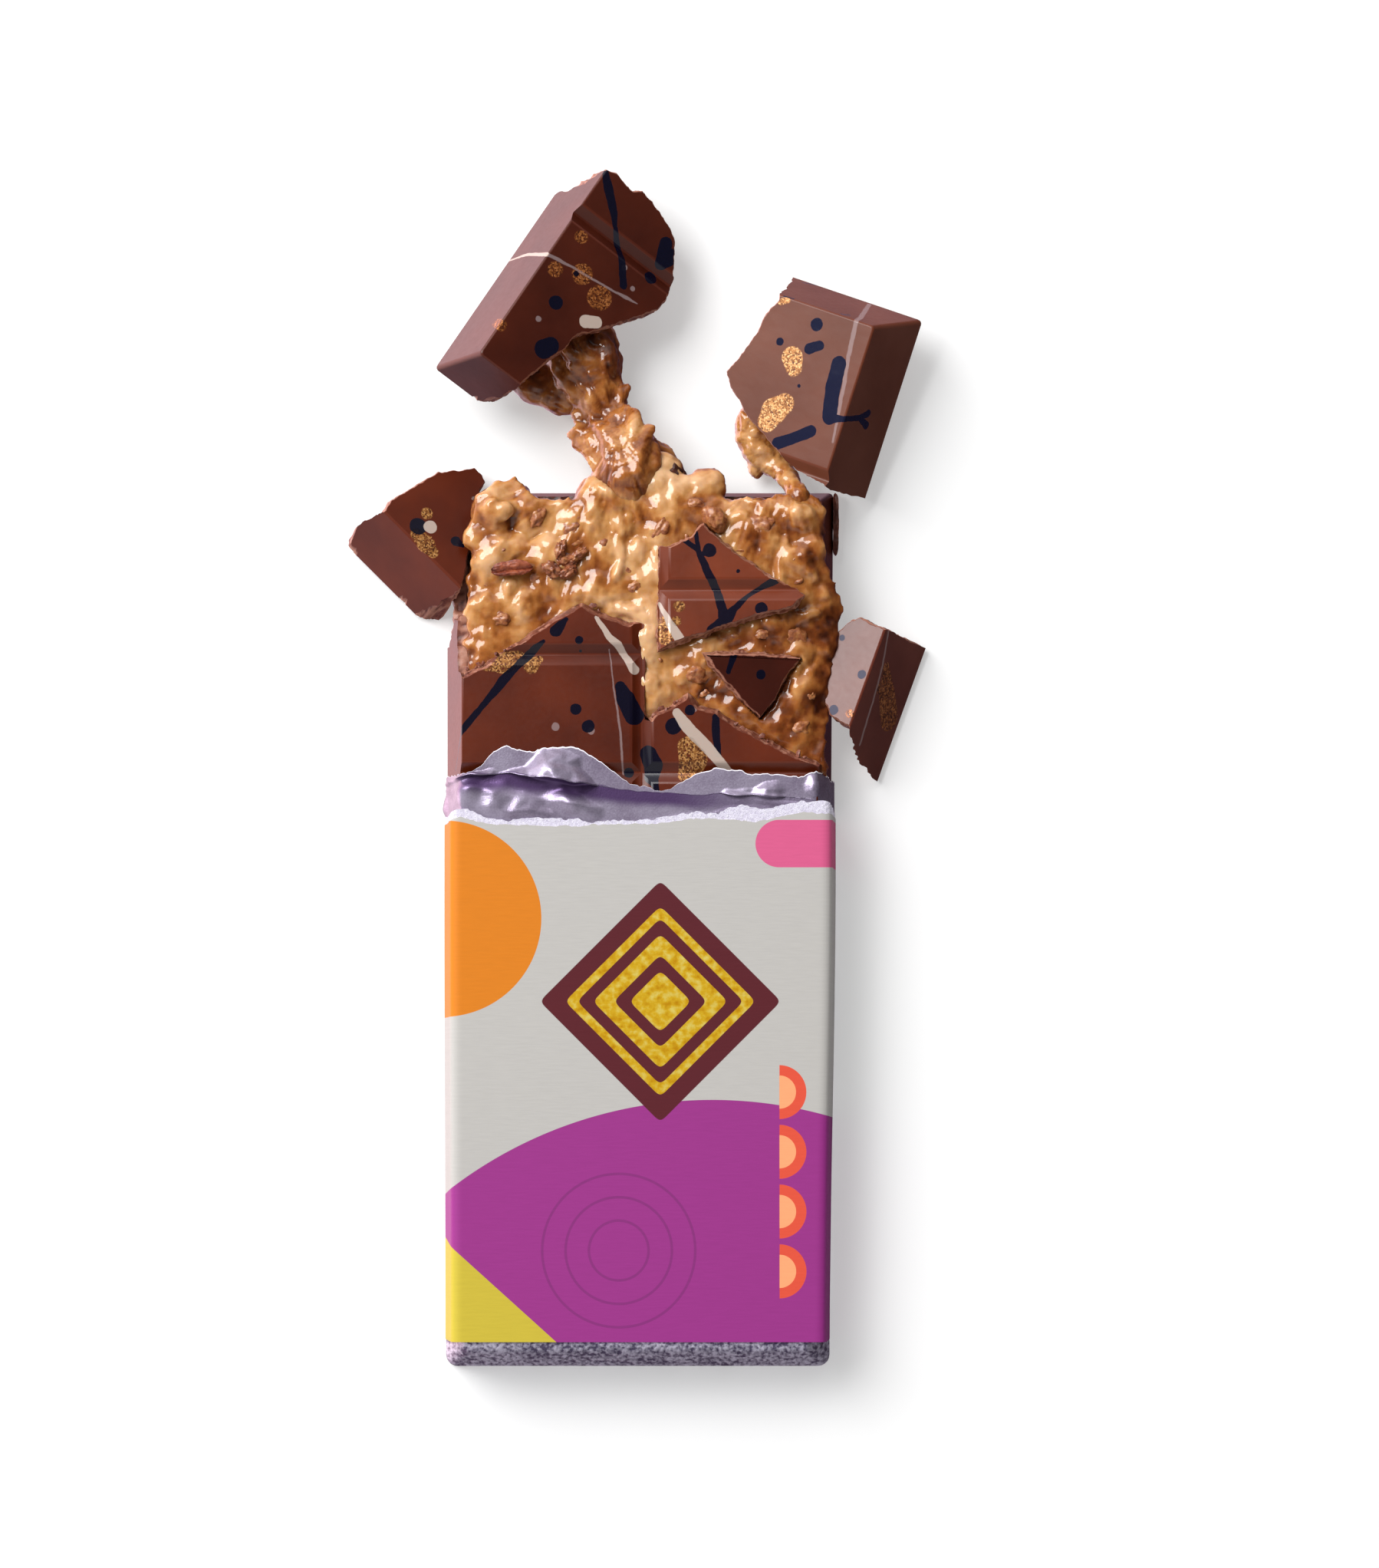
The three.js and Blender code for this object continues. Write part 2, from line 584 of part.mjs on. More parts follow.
object.add(meshOf("bar_shell", bar.subtract(fragmentRoom()), MATERIALS.chocolate));
object.add(meshOf("filling", fillingBody, MATERIALS.filling));
object.add(meshOf("left_filling_pull", pullLeft, MATERIALS.filling));
object.add(meshOf("right_filling_pull", pullRight, MATERIALS.filling));
object.add(meshOf("wall_splinter", splinter(), MATERIALS.chocolate));
object.add(meshOf("foil_wrap", foilWrap().subtract(withGap(cardShape, SLIP / 2)), MATERIALS.foil));
object.add(meshOf("card_band", cardShape, MATERIALS.card));

// Room for the fragments that lean against the bar
function fragmentRoom() {
  return FRAGMENTS.map(({ placed }) => withGap(placed)).reduce((all, one) => all.add(one));
}

for (const { name, shape, rotation, position } of FRAGMENTS) {
  const tipped = new THREE.Group();
  tipped.position.copy(position);
  tipped.quaternion.copy(rotation);
  tipped.add(meshOf(name, shape, MATERIALS.chocolate));
  object.add(tipped);
}

for (const { name, body } of CRUMBS) {
  object.add(meshOf(name, mainBody(body), MATERIALS.crumb));
}

// The object's own origin: the middle of its base
const extent = new THREE.Box3().setFromObject(object, true);
const middle = extent.getCenter(new THREE.Vector3());
object.position.set(-middle.x, -middle.y, -extent.min.z);

const part = new THREE.Group();
part.name = "pretzel_chocolate_bar";
part.add(object);

export default part;
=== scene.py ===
"""A filled milk chocolate bar in an opened pack, its far end broken open.

Pieces are modelled in millimetres about the bar's own middle, +Y towards the broken end and z = 0 on the
table. Each finished piece is then turned to metres and moved to where the CAD model lies.
"""
import math
import random
from contextlib import contextmanager

import bmesh
import bpy
from mathutils import Matrix, Quaternion, Vector, noise


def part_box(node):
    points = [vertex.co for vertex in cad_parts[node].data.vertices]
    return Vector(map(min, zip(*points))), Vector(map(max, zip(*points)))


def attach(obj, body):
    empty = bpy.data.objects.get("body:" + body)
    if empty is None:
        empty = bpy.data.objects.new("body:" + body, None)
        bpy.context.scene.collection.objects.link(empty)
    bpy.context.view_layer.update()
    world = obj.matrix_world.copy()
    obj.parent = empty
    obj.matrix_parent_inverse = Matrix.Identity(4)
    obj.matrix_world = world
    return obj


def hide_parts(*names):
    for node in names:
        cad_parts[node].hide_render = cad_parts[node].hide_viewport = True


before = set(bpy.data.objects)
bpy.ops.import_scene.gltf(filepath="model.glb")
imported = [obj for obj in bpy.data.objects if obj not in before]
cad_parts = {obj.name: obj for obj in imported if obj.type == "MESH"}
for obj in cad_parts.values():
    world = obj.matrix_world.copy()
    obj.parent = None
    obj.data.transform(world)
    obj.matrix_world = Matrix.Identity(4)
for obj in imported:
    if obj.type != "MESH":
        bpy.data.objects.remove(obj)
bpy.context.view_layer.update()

MM = 0.001
NEAR = 0.01  # two heights this close are the same one
TABLE_GAP = 0.02  # nothing comes closer to the table

# The moulded bar
BAR_WIDTH = 76
BAR_LENGTH = 172.4
BAR_HEIGHT = 15
DRAFT = 3.5  # how far each side leans in between the base and the top face
SHELL = 3
CORNER_RADIUS = 0.9
TOP_ROUND = 0.42
BASE_ROUND = 0.5
BAR_FLOOR = 0.7
BAR_TOP = BAR_FLOOR + BAR_HEIGHT
PACKED_END_GAP = 2.9  # how far the bar's packed end stays inside the foil's closed end
TOP_HALF_WIDTH = BAR_WIDTH / 2 - DRAFT
TOP_HALF_LENGTH = BAR_LENGTH / 2 - DRAFT
LEAN = DRAFT / BAR_HEIGHT
CAVITY_FLOOR = BAR_FLOOR + SHELL
CAVITY_TOP = BAR_TOP - SHELL
CAVITY_ROUND = 1.2
# A moulded face this near to the sides, whose normal rises less than this, is part of a side wall
WALL_BAND = 0.9
UPRIGHT = 0.97

# Channels between the squares of the top face
GROOVE_TOP = 4.1
GROOVE_FLOOR = 0.4
GROOVE_DEPTH = 1.35
GROOVE_SHOULDER = 0.4
GROOVE_FOOT = 0.12
GROOVE_WING = 0.9  # how far the cutter reaches past the shoulders, to round them
COLUMN_GROOVE_X = 0.4
FIRST_ROW = 27.3
CORNER_ROW = 29.2
ROW_PITCH = 23
ROW_GROOVES = 6

# The pack
CARD_END_Y = -80.6
CARD_INSET = 1.0  # the print ends this much nearer to the tear

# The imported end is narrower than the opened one, and more so on its right
SQUEEZED_RIGHT = 1.3
SQUEEZED_LEFT = 0.4
SQUEEZE_START = 15
SQUEEZE_FULL = -85

# Fractures: the outline is followed in short steps, and each step is moved by noise
FRACTURE_STEP = 0.42
OUTLINE_NOISE = ((4, 0, 1.0), (1.3, 5, 0.6))  # size, z in the noise, and height
SIDE_NOISE = ((1.8, 2, 1.0), (0.8, 4, 0.5))  # size, seed and height
FAR = 60  # beyond anything in the model

# The model's place: the card band is centred on the bar and starts at a known distance from its middle
band_low, band_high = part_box("card_band")
BAR_PLACE = Vector(((band_low[0] + band_high[0]) / 2, band_low[1] - CARD_END_Y * MM, 0))

SCENE = bpy.context.scene


# Helpers for meshes

# Each seed looks at another part of the noise, and each octave is finer and weaker than the one before
SEED_STEP = (7.31, 3.17)
GRAIN_FALLOFF = 0.8
GRAIN_FINER = 2.0


def linear(hex_colour):
    """An sRGB hex colour as the linear RGBA that the shader sockets hold."""
    parts = [int(hex_colour[i:i + 2], 16) / 255 for i in (0, 2, 4)]
    return (*[p / 12.92 if p <= 0.04045 else ((p + 0.055) / 1.055) ** 2.4 for p in parts], 1)


def grain(x, y, z, size, seed, octaves=3):
    """Fractal noise of about -1 to 1, whose largest bumps are size millimetres across."""
    place = Vector((x / size + seed * SEED_STEP[0], y / size - seed * SEED_STEP[1], z / size))
    return noise.fractal(place, GRAIN_FALLOFF, GRAIN_FINER, octaves)


def layered(x, y, z, layers, seed=0):
    """Several sizes of noise in one. Each layer is (size, seed, height)."""
    return sum(height * grain(x, y, z, size, seed + more) for size, more, height in layers)


@contextmanager
def editing(obj):
    """An object's mesh as a bmesh, which is put back when the block ends."""
    bm = bmesh.new()
    bm.from_mesh(obj.data)
    bm.normal_update()
    yield bm
    bm.to_mesh(obj.data)
    bm.free()


def object_of(name, bm, *materials):
    """A new object in the scene with the bmesh as its mesh. The bmesh is used up."""
    mesh = bpy.data.meshes.new(name)
    bm.to_mesh(mesh)
    bm.free()
    for material in materials:
        mesh.materials.append(material)
    made = bpy.data.objects.new(name, mesh)
    SCENE.collection.objects.link(made)
    return made


def merge(bm, part):
    """Adds one bmesh to another. The added one is used up."""
    mesh = bpy.data.meshes.new("part")
    part.to_mesh(mesh)
    part.free()
    bm.from_mesh(mesh)
    bpy.data.meshes.remove(mesh)


def round_edges(bm, edges, size, steps):
    bmesh.ops.bevel(bm, geom=edges, offset=size, segments=steps, profile=0.5, affect="EDGES", material=-1)


def edges_along(bm, axis, least=1):
    """The edges that reach further than least along an axis."""
    return [e for e in bm.edges if abs(e.verts[0].co[axis] - e.verts[1].co[axis]) > least]


def edges_at(bm, height):
    return [e for e in bm.edges if all(abs(v.co.z - height) < NEAR for v in e.verts)]


def slab(width, low, high, columns, rows, ground, lid):
    """A block over a grid, from low to high along the bar, its underside at ground(x, y), its top at lid."""
    bm = bmesh.new()
    bmesh.ops.create_grid(bm, x_segments=columns, y_segments=rows, size=0.5)
    bmesh.ops.scale(bm, vec=(width, high - low, 1), verts=bm.verts)
    bmesh.ops.translate(bm, vec=(0, (low + high) / 2, 0), verts=bm.verts)
    made = bmesh.ops.extrude_face_region(bm, geom=bm.faces[:])["geom"]
    top = {g for g in made if isinstance(g, bmesh.types.BMVert)}
    for v in bm.verts:
        v.co.z = (lid if v in top else ground)(v.co.x, v.co.y)
    bmesh.ops.recalc_face_normals(bm, faces=bm.faces)
    return bm


def settle(obj):
    """Applies the object's modifiers to its mesh."""
    graph = bpy.context.evaluated_depsgraph_get()
    mesh = bpy.data.meshes.new_from_object(obj.evaluated_get(graph), depsgraph=graph)
    old = obj.data
    obj.modifiers.clear()
    obj.data = mesh
    mesh.name = obj.name
    bpy.data.meshes.remove(old)
    return obj


def cut(obj, cutter, operation="DIFFERENCE"):
    """Cuts with a cutter that is used up. The new faces keep the cutter's material."""
    step = obj.modifiers.new("cut", "BOOLEAN")
    step.operation = operation
    step.solver = "MANIFOLD"
    step.object = cutter
    step.material_mode = "TRANSFER"
    settle(obj)
    bpy.data.objects.remove(cutter)
    return obj


def shift(obj, matrix):
    """Moves or turns an object's mesh. The object itself stays at the origin."""
    obj.data.transform(matrix)
    return obj


def ease(value, low, high):
    """0 up to low, 1 from high on, and a smooth rise between them."""
    share = min(1, max(0, (value - low) / (high - low)))
    return share * share * (3 - 2 * share)


def squeeze_end(obj):
    """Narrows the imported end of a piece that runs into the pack."""
    for v in obj.data.vertices:
        share = ease(-v.co.y, -SQUEEZE_START, -SQUEEZE_FULL)
        right, left = ease(v.co.x, 0, BAR_WIDTH / 2), ease(-v.co.x, 0, BAR_WIDTH / 2)
        v.co.x -= share * (SQUEEZED_RIGHT * right - SQUEEZED_LEFT * left)
    return obj


def sheet_of(name, bm, material, thickness):
    """An open sheet, turned face up and given its thickness below."""
    bmesh.ops.recalc_face_normals(bm, faces=bm.faces)
    sheet = object_of(name, bm, material)
    if sum(p.normal.z for p in sheet.data.polygons) < 0:
        sheet.data.flip_normals()
    body = sheet.modifiers.new("thick", "SOLIDIFY")
    body.thickness = thickness
    body.offset = -1
    return settle(sheet)


def smooth(obj, angle=35, weighted=True):
    """Smooth shading with sharp edges where faces meet at more than an angle."""
    obj.data.shade_smooth()
    obj.data.set_sharp_from_angle(angle=math.radians(angle))
    if weighted:
        keep = obj.modifiers.new("weighted", "WEIGHTED_NORMAL")
        keep.keep_sharp = True
        settle(obj)
    return obj


def mark_rims(obj, least=16, narrow=0.4):
    """Marks the vertices inside rounded edges, where a warmer glow is painted, as if thin chocolate let light
    through there.
    Only narrow faces count, so that the mark doesn't spread over a flat."""
    with editing(obj) as bm:
        rim_glow = bm.verts.layers.float.new("rim_glow")
        for v in bm.verts:
            turn = max((e.calc_face_angle_signed(0) for e in v.link_edges), default=0)
            widest = max((f.calc_area() / f.calc_perimeter() for f in v.link_faces), default=FAR)
            v[rim_glow] = 1.0 if turn > math.radians(least) and widest < narrow else 0.0
    return obj


def finish_piece(obj, name, node=None):
    """Names a piece and puts it in its place in metres, on the root body, and hides the CAD part that it
    stands for.
    """
    obj.name = obj.data.name = name
    shift(obj, Matrix.Translation(BAR_PLACE) @ Matrix.Scale(MM, 4))
    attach(obj, "root")
    if node:
        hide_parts(node)
    return obj


# Helpers for materials

# The sockets of a Mix node: two numbers, or two colours
LOW, HIGH = 2, 3
UNDER, OVER = 6, 7


def connect(tree, node, inputs):
    """Fills a node's sockets: sockets, and the first used output of nodes, are linked, constants set."""
    for key, value in inputs.items():
        if isinstance(value, bpy.types.Node):
            value = next(output for output in value.outputs if output.enabled)
        if isinstance(value, bpy.types.NodeSocket):
            tree.links.new(value, node.inputs[key])
        else:
            node.inputs[key].default_value = value


def add(tree, kind, inputs=None, stops=(), **settings):
    """Adds a shader node with its settings, constants and links. A ramp's stops are (place, sRGB hex)."""
    made = tree.nodes.new("ShaderNode" + kind)
    for key, value in settings.items():
        setattr(made, key, value)
    for number, (place, colour) in enumerate(stops):
        elements = made.color_ramp.elements
        stop = elements[number] if number < 2 else elements.new(place)
        stop.position = place
        stop.color = linear(colour)
    connect(tree, made, inputs or {})
    return made


def new_material(name):
    """A material with a bare Principled surface."""
    material = bpy.data.materials.new(name)
    material.use_nodes = True
    tree = material.node_tree
    tree.nodes.clear()
    surface = add(tree, "BsdfPrincipled")
    add(tree, "OutputMaterial", {"Surface": surface})
    return material, tree, surface


# Chocolate materials

def streak_group():
    """Distance in millimetres from a place to a streak of changing width, negative inside it."""
    tree = bpy.data.node_groups.new("streak distance", "ShaderNodeTree")
    for name, kind in (
        ("Place", "Vector"), ("From", "Vector"), ("Along", "Vector"), ("Per Length", "Float"),
        ("Radius", "Float"), ("Widening", "Float"),
    ):
        tree.interface.new_socket(name, in_out="INPUT", socket_type="NodeSocket" + kind)
    tree.interface.new_socket("Distance", in_out="OUTPUT", socket_type="NodeSocketFloat")
    given = tree.nodes.new("NodeGroupInput").outputs
    offset = add(tree, "VectorMath", {0: given["Place"], 1: given["From"]}, operation="SUBTRACT")
    dot = add(tree, "VectorMath", {0: offset, 1: given["Along"]}, operation="DOT_PRODUCT")
    share = add(tree, "Math", {0: dot, 1: given["Per Length"]}, operation="MULTIPLY", use_clamp=True)
    reach = add(tree, "VectorMath", {0: given["Along"], "Scale": share}, operation="SCALE")
    away = add(tree, "VectorMath", {0: offset, 1: reach}, operation="SUBTRACT")
    far = add(tree, "VectorMath", {0: away}, operation="LENGTH")
    radius = add(tree, "Math", {0: share, 1: given["Widening"], 2: given["Radius"]}, operation="MULTIPLY_ADD")
    distance = add(tree, "Math", {0: far, 1: radius}, operation="SUBTRACT")
    connect(tree, tree.nodes.new("NodeGroupOutput"), {"Distance": distance})
    return tree


STREAK = streak_group()


def marks_mask(tree, place, marks, edge=0.06):
    """1 inside any of the marks. A mark is a dot (x, y, radius) in millimetres, or a streak through more."""
    nearest = None
    for mark in marks:
        for start, end in zip(mark, mark[1:] or mark):
            along = Vector((end[0] - start[0], end[1] - start[1], 0))
            streak = add(tree, "Group", {
                "Place": place, "From": (start[0], start[1], 0), "Along": along,
                "Per Length": 1 / along.length_squared if along.length else 0,
                "Radius": start[2], "Widening": end[2] - start[2],
            }, node_tree=STREAK)
            nearest = add(tree, "Math", {0: nearest, 1: streak}, operation="MINIMUM") if nearest else streak
    return add(tree, "MapRange",
               {"Value": nearest, "From Min": -edge, "From Max": edge, "To Min": 1.0, "To Max": 0.0},
               interpolation_type="SMOOTHSTEP")


def warped(tree, place, size, amount, seed):
    """A place in the pattern, moved by noise so that drawn edges wander."""
    wave = add(tree, "TexNoise", {"Vector": place, "Scale": 1 / size, "Detail": 3.0, "W": seed},
               noise_dimensions="4D")
    centred = add(tree, "VectorMath", {0: wave.outputs["Color"], 1: (0.5, 0.5, 0.5)}, operation="SUBTRACT")
    flat = add(tree, "VectorMath", {0: centred, 1: (2 * amount, 2 * amount, 0)}, operation="MULTIPLY")
    return add(tree, "VectorMath", {0: place, 1: flat}, operation="ADD")


CHOCOLATE_IOR = 1.46  # cocoa butter
MILK_BROWNS = ("4A1706", "60230C")

# Lustre powder, from the gaps between its grains to the brightest grain
GOLD_POWDER = ("42200F", "6E3E1E", "9A6632", "C28E56")
SHADED_POWDER = ("3A180C", "602E14", "864C22", "AC6C3C")
LIT_POWDER = ("6A4024", "946034", "BC8450", "DCAE78")

# Cocoa butter colours: paint, how far it covers the chocolate, and how soft its edge is in millimetres
PALE = ("B5A3A4", 0.34, 0.09)
NAVY = ("05071A", 0.98, 0.06)
WHITE = ("BCAA9E", 0.85, 0.07)


def moulded_chocolate(
    name, navy=(), bronze=(), white=(), pale=(), seed=0.0, browns=MILK_BROWNS, gloss=0.4, powders=GOLD_POWDER,
    paint_rough=0.24, blue=NAVY[0],
):
    """Tempered milk chocolate with coloured cocoa butter splashed in the mould. It sets against a polished
    mould, so it's even and satin, with faint swirls, and the splashes lie flush in it."""
    material, tree, surface = new_material(name)
    mould = add(tree, "UVMap", uv_map="mould")
    clouds, broad, fine = (
        add(tree, "TexNoise", {"Vector": mould, "Scale": 1 / size, "Detail": detail, "W": seed},
            noise_dimensions="4D")
        for size, detail in ((14, 3.0), (6, 2.0), (0.9, 4.0))
    )
    colour = add(tree, "ValToRGB", {"Fac": clouds}, stops=zip((0.3, 0.7), browns))
    # painted glow: thin rounded edges are painted a warmer brown, as if light came through them
    rim_glow = add(tree, "Attribute", attribute_name="rim_glow").outputs["Fac"]
    glow_share = add(tree, "Math", {0: rim_glow, 1: 0.15}, operation="MULTIPLY")
    colour = add(tree, "Mix", {"Factor": glow_share, UNDER: colour, OVER: linear("7C3A28")}, data_type="RGBA")
    if bronze:
        # lustre powder: each grain has its own brightness, and is drawn 0.3 mm wide, larger than a real one
        grains = add(tree, "TexVoronoi", {"Vector": mould, "Scale": 1 / 0.3, "Randomness": 1.0})
        glint = add(tree, "SeparateColor", {"Color": grains.outputs["Color"]})
        powder = add(tree, "ValToRGB", {"Fac": glint}, stops=zip((0.0, 0.3, 0.62, 0.95), powders))
        covered = add(tree, "MapRange", {"Value": glint.outputs["Green"], "From Min": 0.04, "From Max": 0.08})
        mask = marks_mask(tree, warped(tree, mould, 1.8, 0.2, seed + 5), bronze, edge=0.15)
        cover = add(tree, "Math", {0: mask, 1: covered}, operation="MULTIPLY")
        colour = add(tree, "Mix", {"Factor": cover, UNDER: colour, OVER: powder}, data_type="RGBA")
        connect(tree, surface, {"Metallic": add(tree, "Math", {0: cover, 1: 0.3}, operation="MULTIPLY")})
    mixed = add(tree, "Math", {0: fine, 1: 0.12, 2: broad}, operation="MULTIPLY_ADD")
    bump = add(tree, "Bump", {"Height": mixed, "Strength": 0.12, "Distance": 0.6 * MM})
    rough = add(tree, "MapRange", {"Value": fine, "To Min": 0.28, "To Max": 0.4})
    wander = warped(tree, mould, 1.6, 0.22, seed)
    for marks, (paint, strength, edge) in ((pale, PALE), (navy, (blue, *NAVY[1:])), (white, WHITE)):
        if marks:
            mask = marks_mask(tree, wander, marks, edge)
            part = add(tree, "Math", {0: mask, 1: strength}, operation="MULTIPLY")
            colour = add(tree, "Mix", {"Factor": part, UNDER: colour, OVER: linear(paint)}, data_type="RGBA")
            # set cocoa butter is glossier than the chocolate round it
            rough = add(tree, "Mix", {"Factor": part, LOW: rough, HIGH: paint_rough}, data_type="FLOAT")
    connect(tree, surface, {
        "Base Color": colour, "Roughness": rough, "IOR": CHOCOLATE_IOR, "Normal": bump,
        "Specular IOR Level": gloss, "Subsurface Weight": 0.06, "Subsurface Radius": (0.0012, 0.0004, 0.0002),
        "Subsurface Scale": 1.0,
    })
    return material


def broken_chocolate(name, browns, rim_glow_colour):
    """Broken tempered chocolate: matt, finely granular, paler than the moulded skin, with a pale glow painted
    on its ridges.
    """
    material, tree, surface = new_material(name)
    place = add(tree, "TexCoord").outputs["Object"]
    crumbly = add(tree, "TexNoise",
                  {"Vector": place, "Scale": 1 / (0.7 * MM), "Detail": 6.0, "Roughness": 0.65})
    patches = add(tree, "TexNoise", {"Vector": place, "Scale": 1 / (3.5 * MM), "Detail": 3.0})
    both = add(tree, "Math", {0: crumbly, 1: patches}, operation="ADD")
    half = add(tree, "Math", {0: both, 1: 0.5}, operation="MULTIPLY")
    colour = add(tree, "ValToRGB", {"Fac": half}, stops=zip((0.36, 0.5, 0.62), browns))
    # painted glow on the rounded ridges, as if light came through thin edges
    rim_glow = add(tree, "Attribute", attribute_name="rim_glow").outputs["Fac"]
    colour = add(tree, "Mix", {"Factor": rim_glow, UNDER: colour, OVER: linear(rim_glow_colour)}, data_type="RGBA")
    bump = add(tree, "Bump", {"Height": crumbly, "Strength": 0.3, "Distance": 0.3 * MM})
    connect(tree, surface, {
        "Base Color": colour, "Roughness": 0.42, "IOR": CHOCOLATE_IOR, "Normal": bump,
        "Subsurface Weight": 0.1, "Subsurface Radius": (0.0015, 0.0007, 0.0004), "Subsurface Scale": 1.0,
    })
    return material


# The last colour of each is the glow painted on its ridges.
BROKEN = broken_chocolate("broken_chocolate", ("4A2118", "6E3A2C", "915A48"), "A87460")
SHAVED = broken_chocolate("shaved_chocolate", ("4A1A0E", "74321E", "9C5234"), "B4704C")
# Darker broken chocolate: on the broken tops of the right wall and the far end it is painted shade. The dark
# lump is made of it too.
DARK_BROKEN = broken_chocolate("dark_and_shade_painted_chocolate", ("1E0C0A", "34160F", "5A2C1C"), "6E3A26")


# The mould

def moulded_block(material):
    """The bar as it leaves the mould, without channels: its sides lean in and its edges are rounded."""
    bm = bmesh.new()
    bmesh.ops.create_cube(bm, size=1)
    bmesh.ops.scale(bm, vec=(BAR_WIDTH, BAR_LENGTH, BAR_HEIGHT), verts=bm.verts)
    bmesh.ops.translate(bm, vec=(0, 0, BAR_FLOOR + BAR_HEIGHT / 2), verts=bm.verts)
    top = [v for v in bm.verts if v.co.z > BAR_TOP - NEAR]
    bmesh.ops.scale(bm, vec=(TOP_HALF_WIDTH * 2 / BAR_WIDTH, TOP_HALF_LENGTH * 2 / BAR_LENGTH, 1), verts=top)
    round_edges(bm, edges_along(bm, 2), CORNER_RADIUS, 4)
    for height, size, steps in ((BAR_TOP, TOP_ROUND, 4), (BAR_FLOOR, BASE_ROUND, 2)):
        round_edges(bm, edges_at(bm, height), size, steps)
    bmesh.ops.translate(bm, vec=(0, PACKED_END_GAP, 0), verts=[v for v in bm.verts if v.co.y < 0])
    return object_of("block", bm, material)


def channel(material, length, x, y, turned):
    """A channel's cutter: a flat floor, sloping sides and rolled shoulders along the top face."""
    bm = bmesh.new()
    shoulder = GROOVE_TOP / 2
    wing = shoulder + GROOVE_WING
    right = [(GROOVE_FLOOR / 2, -GROOVE_DEPTH), (shoulder, 0), (wing, 0.03), (wing, 2)]
    profile = [(-right[0][0], right[0][1]), *right, *[(-u, w) for u, w in right[:0:-1]]]
    face = bm.faces.new([bm.verts.new((u, -length / 2, w)) for u, w in profile])
    made = bmesh.ops.extrude_face_region(bm, geom=[face])["geom"]
    bmesh.ops.translate(bm, vec=(0, length, 0), verts=[g for g in made if isinstance(g, bmesh.types.BMVert)])
    lengthwise = edges_along(bm, 1)
    for height, size, steps in ((0, GROOVE_SHOULDER, 3), (-GROOVE_DEPTH, GROOVE_FOOT, 1)):
        chosen = [e for e in lengthwise if e.is_valid and abs(e.verts[0].co.z - height) < NEAR]
        round_edges(bm, chosen, size, steps)
    bmesh.ops.recalc_face_normals(bm, faces=bm.faces)
    cutter = object_of("channel", bm, material)
    turn = Matrix.Rotation(math.pi / 2 if turned else 0, 4, "Z")
    return shift(cutter, Matrix.Translation((x, y, BAR_TOP)) @ turn)


def moulded_bar(material, first_row=FIRST_ROW, rows=ROW_GROOVES):
    """The bar with its channels. Each channel is cut a little longer than the bar."""
    bar = moulded_block(material)
    cut(bar, channel(material, BAR_LENGTH * 1.1, COLUMN_GROOVE_X, 0, False))
    for row in range(rows):
        y = TOP_HALF_LENGTH - first_row - GROOVE_TOP / 2 - row * ROW_PITCH
        cut(bar, channel(material, BAR_WIDTH * 1.1, 0, y, True))
    return bar


def cavity(floor=CAVITY_FLOOR):
    """The hollow that holds the filling. Its floor can be pushed down to open it."""
    bm = bmesh.new()
    bmesh.ops.create_cube(bm, size=1)
    for v in bm.verts:
        v.co.z = CAVITY_TOP if v.co.z > 0 else floor
        lean = LEAN * (v.co.z - BAR_FLOOR)
        v.co.x *= BAR_WIDTH - 2 * (SHELL + lean)
        v.co.y *= BAR_LENGTH - 2 * (SHELL + lean)
        if v.co.y < 0:
            v.co.y += PACKED_END_GAP
    round_edges(bm, edges_at(bm, CAVITY_TOP), CAVITY_ROUND, 2)
    return object_of("cavity", bm, BROKEN)


def rough_prism(outline, levels, seed, material=BROKEN, wander=0.22, step=FRACTURE_STEP):
    """A cutter over an outline with broken sides. Each level is (z, how far out, how rough)."""
    bm = bmesh.new()
    corners = [bm.verts.new((x, y, 0)) for x, y in outline]
    edges = [bm.edges.new((a, b)) for a, b in zip(corners, corners[1:] + corners[:1])]
    for edge in edges:
        bmesh.ops.subdivide_edges(bm, edges=[edge], cuts=max(0, int(edge.calc_length() / step)))
    bmesh.ops.contextual_create(bm, geom=bm.edges[:])
    base = bm.verts.layers.float_vector.new("base")
    outward = bm.verts.layers.float_vector.new("outward")
    bm.faces.ensure_lookup_table()
    face = bm.faces[0]
    face.normal_update()
    if face.normal.z < 0:
        face.normal_flip()
    ring = [loop.vert for loop in face.loops]
    for i, v in enumerate(ring):
        along = (ring[(i + 1) % len(ring)].co - ring[i - 1].co).normalized()
        v[outward] = Vector((along.y, -along.x, 0))
        away = sum(height * grain(v.co.x, v.co.y, z, size, seed) for size, z, height in OUTLINE_NOISE)
        v[base] = v.co + v[outward] * wander * away
    for number, (z, out, rough) in enumerate(levels):
        if number > 0:
            below = face
            made = bmesh.ops.extrude_face_region(bm, geom=[below])["geom"]
            face = next(g for g in made if isinstance(g, bmesh.types.BMFace))
            if number > 1:
                bmesh.ops.delete(bm, geom=[below], context="FACES_ONLY")
        for v in face.verts:
            x, y, _ = v[base]
            v.co = v[base] + v[outward] * (out + rough * layered(x, y, z, SIDE_NOISE, seed))
            v.co.z = z
    bmesh.ops.recalc_face_normals(bm, faces=bm.faces)
    return object_of("cutter", bm, material)


